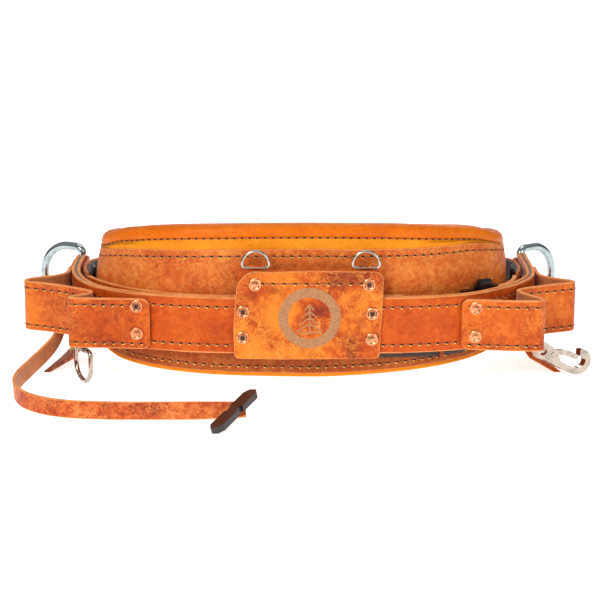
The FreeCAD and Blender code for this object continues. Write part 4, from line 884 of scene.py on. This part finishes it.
def plate():
    acc = Acc()
    # outline with rounded corners
    corners = [(-63.0, 31.8, 4.0), (-64.0, 60, 0), (-62.2, 84, 0), (-60.6, 99.0, 3), (-52.0, 111.7, 9.0), (-30, 111.2, 0), (10, 112.0, 0), (45, 111.6, 0), (69.6, 111.6, 9.0), (69.2, 84, 0), (67.4, 60, 0), (66.6, 32.0, 4.5), (30, 31.5, 0), (-20, 31.2, 0)]
    pts = []
    for i, (x, z, r) in enumerate(corners):
        p = Vector((x, z))
        a = Vector(corners[i - 1][:2])
        b = Vector(corners[(i + 1) % len(corners)][:2])
        if r == 0:
            pts.append(p)
            continue
        d0, d1 = (a - p).normalized(), (b - p).normalized()
        for k in range(9):
            t = k / 8
            q0, q1 = p + d0 * r, p + d1 * r
            pts.append(q0 * (1 - t) ** 2 + p * 2 * t * (1 - t) + q1 * t ** 2)
    # resample
    ring = []
    n = len(pts)
    for i in range(n):
        a, b = pts[i], pts[(i + 1) % n]
        m = max(1, int((b - a).length / 3.0))
        for k in range(m):
            ring.append(a.lerp(b, k / m))
    n = len(ring)
    c = Vector((3.0, 71.5))
    wob = [1 + 0.004 * nz(i * 0.35, 2.0) for i in range(n)]
    levels = [0.0, 0.1, 0.2, 0.3, 0.4, 0.5, 0.58, 0.66, 0.74, 0.81, 0.87, 0.92, 0.955, 0.98]
    layers = []
    for lv in levels[1:]:
        layers.append([acc.vert((c + (p - c) * lv * wob[i]).x, plate_y(*(c + (p - c) * lv)), (c + (p - c) * lv * wob[i]).y) for i, p in enumerate(ring)])
    mid = acc.vert(c.x, plate_y(c.x, c.y), c.y)
    for i in range(n):
        acc.face((mid, layers[0][i], layers[0][(i + 1) % n]), 0)
    for a, b in zip(layers, layers[1:]):
        for i in range(n):
            acc.face((a[i], b[i], b[(i + 1) % n], a[(i + 1) % n]), 0)
    # rounded rim, then straight back
    prev = layers[-1]
    for out, dy in ((0.99, 0.15), (0.998, 0.5), (1.0, 1.0), (1.0, 2.9), (0.996, 3.4), (0.985, 3.6)):
        cur = [acc.vert((c + (p - c) * out * wob[i]).x, plate_y(*(c + (p - c) * 0.98)) + dy, (c + (p - c) * out * wob[i]).y) for i, p in enumerate(ring)]
        for i in range(n):
            acc.face((prev[i], cur[i], cur[(i + 1) % n], prev[(i + 1) % n]), 0 if out < 0.995 and dy < 0.3 else 1)
        prev = cur
    back = acc.vert(c.x, 3.9, c.y)
    for i in range(n):
        acc.face((prev[(i + 1) % n], prev[i], back), 2)
    acc.build("accessory_plate_skin", [GRAIN_PLATE, EDGE, FLESH], "belt", ["accessory_plate"])
    sa = Acc()
    stitch_row(sa, lambda s: Vector((s, plate_y(s, 100.6), 100.6)), -38.0, 50.5, 9.6, lambda s: Vector((0, -1, 0)), 0.55)
    stitch_row(sa, lambda s: Vector((s, plate_y(s, 36.4), 36.4)), -58.0, 61.0, 9.6, lambda s: Vector((0, -1, 0)), 0.5) if False else None
    sa.build("accessory_plate_stitching", [THREAD, HOLE_SHADE, RIM_HIGHLIGHT], "belt")
    # pressed mark: a plain ring round a small conifer, generic
    st = Acc()
    cx, cz = 4.0, 69.5

    def sp(x, z, lift=0.14):
        return st.vert(x, plate_y(x, z) - lift, z)
    rr = [19.0, 20.5, 22.0, 23.5, 25.0, 26.4, 27.8]
    na = 120
    rows = []
    for r in rr:
        rows.append([sp(cx + r * math.cos(2 * math.pi * k / na), cz + r * math.sin(2 * math.pi * k / na), 0.14 if 19.1 < r < 27.7 else 0.0) for k in range(na)])
    for a, b in zip(rows, rows[1:]):
        for k in range(na):
            st.face((a[k], b[k], b[(k + 1) % na], a[(k + 1) % na]), 0)

    def bar(x0, z0, x1, z1, w):
        d = Vector((x1 - x0, z1 - z0))
        L = d.length
        d.normalize()
        q = Vector((-d.y, d.x))
        m = max(2, int(L / 1.2))
        g = []
        for i in range(m + 1):
            t = i / m
            row = []
            for k, lift in ((-1, 0.0), (-0.7, 0.12), (0.7, 0.12), (1, 0.0)):
                x = x0 + d.x * L * t + q.x * w / 2 * k
                z = z0 + d.y * L * t + q.y * w / 2 * k
                row.append(sp(x, z, lift))
            g.append(row)
        for a, b in zip(g, g[1:]):
            for k in range(3):
                st.face((a[k], a[k + 1], b[k + 1], b[k]), 0)
    # conifer: trunk and three pairs of boughs, with a ground line
    bar(cx, cz - 12.5, cx, cz + 13.0, 1.5)
    for h, wdt, drop in ((12.0, 4.2, 4.6), (6.2, 6.6, 5.6), (0.4, 9.0, 6.4), (-5.2, 11.0, 6.6)):
        for sgn in (-1, 1):
            bar(cx, cz + h, cx + sgn * wdt, cz + h - drop, 1.35)
    bar(cx - 11.0, cz - 13.4, cx + 11.0, cz - 13.4, 1.3)
    st.build("accessory_plate_mark", [STAMP], "belt")


plate()

# ---------------------------------------------------------------- hollow ends of the tubular rivets, drawn as dark discs of painted shade
FLAP_SIDE = leather("leather_flap", srgb(112, 56, 34), srgb(160, 88, 54), srgb(206, 122, 62), 21.0, veins=0.5, blotch=1.0, rough=0.5, bruise=0.8)
# painted shade: near-black colour standing in for the shade inside the rivets' hollow ends
CUP_SHADE = flat_noise("rivet_bore_painted_shade", srgb(30, 12, 8), srgb(78, 40, 28), 500.0, 0.6)


def bore_shade_discs():
    acc = Acc()
    lp = {"l": lpL, "r": lpR}
    spots = []
    for x, z in ((-55.3, 75.0), (-55.7, 51.2), (56.9, 99.8), (59.8, 73.4)):
        spots.append((Vector((x, 0.3 - CUP_OUT, z)), Vector((0, -1, 0))))
    s = where_x(lpL, -150.9)
    p, a = place(lpL, s)
    n = Vector((math.sin(a), -math.cos(a), 0))
    if n.y > 0:
        n = -n
    spots.append((Vector((p[0], p[1], 77.0)) + n * (2.0 + CUP_OUT), n))
    for c, n in spots:
        u = Vector((n.y, -n.x, 0))
        disc(acc, c, n, u, 2.2, 2.2, 0, 0.0, -0.02, 24)
    acc.build("rivet_hollow_shade_discs", [CUP_SHADE], "belt")


CUP_OUT = 1.95
bore_shade_discs()

# ---------------------------------------------------------------- tape thong
THONG = [(-225.5, 95, 47), (-226.5, 91, 37), (-233, 79, 26), (-243, 62, 17), (-253, 41, 11), (-259.5, 18, 8.4), (-260, -7, 8.2), (-254.5, -31, 8.2), (-241.5, -53, 8.2),
         (-220.5, -69, 8.2), (-194, -77, 8.2), (-165, -79.2, 8.2), (-135, -79.6, 8.2), (-106, -79.4, 8.2), (-78, -78.2, 8.2), (-51, -76.4, 8.4)]


def thong():
    cu = bpy.data.curves.new("thong_route", "CURVE")
    cu.dimensions = "3D"
    sp = cu.splines.new("NURBS")
    sp.points.add(len(THONG) - 1)
    for q, p in zip(sp.points, THONG):
        q.co = (*W(*p), 1.0)
    sp.order_u = 3
    sp.use_endpoint_u = True
    cu.resolution_u = 16
    tmp = bpy.data.objects.new("thong_route", cu)
    line = bpy.data.meshes.new_from_object(tmp)
    route = [v.co.copy() for v in line.vertices]
    bpy.data.meshes.remove(line)
    bpy.data.objects.remove(tmp)
    bpy.data.curves.remove(cu)
    pts = [Vector((p.x * 1000 - OX, p.y * 1000 - OY, p.z * 1000 - OZ)) for p in route]
    run = [0.0]
    for a, b in zip(pts, pts[1:]):
        run.append(run[-1] + (b - a).length)
    L = run[-1]
    n = 230
    out = []
    j = 0
    for i in range(n + 1):
        d = L * i / n
        while j < len(run) - 2 and run[j + 1] < d:
            j += 1
        t = (d - run[j]) / max(1e-6, run[j + 1] - run[j])
        out.append(pts[j].lerp(pts[j + 1], min(1, max(0, t))))
    acc = Acc()
    rings = []
    hw, ht, re = 7.9, 1.5, 0.75
    zs = [-hw + re + (2 * hw - 2 * re) * k / 8 for k in range(9)]
    for i, p in enumerate(out):
        d = L * i / n
        t = (out[min(i + 2, n)] - out[max(i - 2, 0)])
        t.z = 0
        t.normalize()
        side = Vector((t.y, -t.x, 0))         # right of travel: the grain side
        up = Vector((0, 0, 1))
        # the band turns over a little towards the toggle, and leans out round the bend
        tw = -0.75 * max(0.0, (d - (L - 75)) / 75) ** 1.4 + 0.12 * math.sin(d / 55.0)
        wd = 1.0 - 0.12 * max(0.0, (d - (L - 40)) / 40)
        u2 = up * math.cos(tw) + side * math.sin(tw)
        s2 = side * math.cos(tw) - up * math.sin(tw)
        lift = 0.5 * nz(d / 25.0, 1.0)
        ring = []
        for z in zs:
            ring.append((ht + 0.22 * nz(d / 9.0, z / 5.0, 2.0) + 0.12 * nz(d / 3.0, z / 3.0, 5.0), z, 0))
        for a in (30, 60, 90):
            q = math.radians(a)
            ring.append((ht - re + re * math.cos(q), hw - re + re * math.sin(q), 2))
        for a in (90, 60, 30):
            q = math.radians(a)
            ring.append((-ht + re - re * math.cos(q), hw - re + re * math.sin(q), 2))
        for z in zs[::-1]:
            ring.append((-ht, z, 1))
        for a in (30, 60, 90):
            q = math.radians(a)
            ring.append((-ht + re - re * math.cos(q), -hw + re - re * math.sin(q), 2))
        for a in (90, 60, 30):
            q = math.radians(a)
            ring.append((ht - re + re * math.cos(q), -hw + re - re * math.sin(q), 2))
        idx = []
        for o, z, _ in ring:
            q = p + s2 * (o + lift) + u2 * (z * wd)
            q.z = max(q.z, 0.12)
            idx.append(acc.vert(*q))
            acc.uv.append((d / 1000, z / 1000))
        rings.append(idx)
    m = len(rings[0])
    for a, b in zip(rings, rings[1:]):
        for k in range(m):
            mat = 0 if k < 8 else (1 if 15 <= k < 23 else 2)
            acc.face((a[k], a[(k + 1) % m], b[(k + 1) % m], b[k]), mat)
    acc.face(rings[0][::-1], 2)
    acc.face(rings[-1], 2)
    ob = acc.build("tape_thong_band", [GRAIN_THONG, FLESH, EDGE], "belt", ["tape_thong"])


thong()

# ---------------------------------------------------------------- materials on the pieces kept from the design
def soften(node, mat, body="belt", voxel=0.0010, rounds=3, amp=0.18, seed=0.0, inset=0.02):
    """Leather piece worked from its design solid: edges rounded over, faces slightly uneven."""
    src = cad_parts[node]
    me = src.data.copy()
    ob = bpy.data.objects.new(node + "_leather", me)
    COL.objects.link(ob)
    ob.matrix_world = src.matrix_world.copy()
    r = ob.modifiers.new("r", "REMESH")
    r.mode = "VOXEL"
    r.voxel_size = voxel
    r.adaptivity = 0.0
    sm = ob.modifiers.new("s", "SMOOTH")
    sm.factor = 0.5
    sm.iterations = rounds
    bpy.context.view_layer.update()
    dg = bpy.context.evaluated_depsgraph_get()
    out = bpy.data.meshes.new_from_object(ob.evaluated_get(dg))
    ob.modifiers.clear()
    ob.data = out
    bpy.data.meshes.remove(me)
    out.materials.clear()
    out.materials.append(mat)
    for poly in out.polygons:
        poly.material_index = 0
        poly.use_smooth = True
    for v in out.vertices:
        q = v.co * 1000
        d = amp * nz(q.x / 11.0 + seed, q.y / 11.0, q.z / 11.0)
        v.co += v.normal * (d - inset) / 1000
    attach(ob, body)
    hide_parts(node)
    return ob


for i, (node, mat) in enumerate((("d_ring_saddle_left", GRAIN), ("d_ring_saddle_right", GRAIN), ("webbing_keeper", GRAIN_BAND), ("buckle_chape", GRAIN_BAND),
                                 ("waist_keeper_fixed", GRAIN_BAND), ("small_dee_clip_left", GRAIN_PLATE), ("small_dee_clip_right", GRAIN_PLATE),
                                 ("side_flap_left", FLAP_SIDE), ("side_flap_right", GRAIN_LOOP), ("plate_backing", GRAIN))):
    soften(node, mat, seed=3.0 * i, voxel=0.0007 if "small" in node else 0.0010)
soften("waist_keeper_sliding", GRAIN_BAND, body="sliding_keeper", seed=50.0, amp=0.04, inset=0.4)

KEEP = {
    "plate_backing": GRAIN_PLATE, "foam": FOAM,
    "plate_rivets": COPPER, "plate_burrs": COPPER, "loop_rivets": COPPER, "loop_burrs": COPPER, "saddle_rivets": COPPER, "waist_rivets": COPPER, "flap_rivets": BRASS,
    "d_ring_left": STEEL, "d_ring_right": STEEL, "small_dee_left": NICKEL, "small_dee_right": NICKEL, "small_dee_clip_left": GRAIN_PLATE, "small_dee_clip_right": GRAIN_PLATE,
    "hanging_ring": NICKEL, "ring_clip": NICKEL, "snap_dee": NICKEL, "snap_dee_clip": NICKEL, "snap_hook_body": NICKEL, "snap_gate": NICKEL, "snap_gate_pin": NICKEL,
    "waist_buckle_frame": NICKEL, "waist_buckle_roller": NICKEL, "waist_buckle_prong": NICKEL,
    "quick_buckle_male": BLACK, "quick_buckle_female": BLACK, "quick_buckle_latch_upper": BLACK, "quick_buckle_latch_lower": BLACK,
    "slide_adjuster_left": BLACK, "slide_adjuster_right": BLACK, "thong_toggle": BLACK_MATTE, "pad_foam_core": FOAM,
    "d_ring_saddle_left": GRAIN, "d_ring_saddle_right": GRAIN, "webbing_keeper": GRAIN_BAND, "buckle_chape": GRAIN_BAND, "waist_keeper_fixed": GRAIN_BAND, "waist_keeper_sliding": GRAIN_BAND,
    "side_flap_left": GRAIN, "side_flap_right": GRAIN,
}
for node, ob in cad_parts.items():
    m = KEEP.get(node)
    if m is None:
        continue
    for s in ob.material_slots:
        s.material = m

# ---------------------------------------------------------------- floor and light
me = bpy.data.meshes.new("floor")
me.from_pydata([(-20, -20, 0), (20, -20, 0), (20, 30, 0), (-20, 30, 0)], [], [(0, 1, 2, 3)])
floor = bpy.data.objects.new("floor", me)
COL.objects.link(floor)
fm = bpy.data.materials.new("floor_white")
fm.use_nodes = True
fm.node_tree.nodes["Principled BSDF"].inputs["Base Color"].default_value = (0.93, 0.93, 0.93, 1)
fm.node_tree.nodes["Principled BSDF"].inputs["Roughness"].default_value = 0.9
fm.node_tree.nodes["Principled BSDF"].inputs["Emission Color"].default_value = (1, 1, 1, 1)
fm.node_tree.nodes["Principled BSDF"].inputs["Emission Strength"].default_value = 0.78
me.materials.append(fm)
floor.location = (0, 0, -0.0002)


def area(name, loc, target, size, power, col=(1, 1, 1)):
    d = bpy.data.lights.new(name, "AREA")
    d.shape = "RECTANGLE"
    d.size, d.size_y = size
    d.energy = power
    d.color = col
    o = bpy.data.objects.new(name, d)
    COL.objects.link(o)
    o.location = loc
    o.rotation_euler = (Vector(target) - Vector(loc)).to_track_quat("-Z", "Y").to_euler()


area("key", (-0.75, -1.5, 1.05), (0, 0, 0.05), (0.7, 0.6), 15.5)
area("fill", (1.15, -1.3, 0.7), (0, 0, 0.05), (0.5, 0.8), 5.0)
area("top", (0.0, 0.1, 1.6), (0, 0, 0), (1.2, 0.6), 6)
area("back", (0.2, 1.5, 0.9), (0, 0.1, 0.05), (1.4, 0.5), 6)
world = bpy.data.worlds.new("world")
bpy.context.scene.world = world
world.use_nodes = True
wt = world.node_tree
bg = wt.nodes["Background"]
tc = wt.nodes.new("ShaderNodeTexCoord")
sx = wt.nodes.new("ShaderNodeSeparateXYZ")
wr = wt.nodes.new("ShaderNodeValToRGB")
wt.links.new(tc.outputs["Generated"], sx.inputs[0])
wt.links.new(sx.outputs[2], wr.inputs[0])
wr.color_ramp.elements[0].position = 0.0
wr.color_ramp.elements[0].color = (0.10, 0.11, 0.12, 1)
wr.color_ramp.elements[1].position = 1.0
wr.color_ramp.elements[1].color = (0.9, 0.9, 0.9, 1)
for pos, c in ((0.12, 0.16), (0.26, 0.75), (0.5, 0.9)):
    el = wr.color_ramp.elements.new(pos)
    el.color = (c, c, c, 1)
wt.links.new(wr.outputs[0], bg.inputs[0])
bg.inputs[1].default_value = 0.42
sc = bpy.context.scene
sc.view_settings.view_transform = "Standard"
sc.view_settings.look = "None"
sc.view_settings.exposure = 0.0
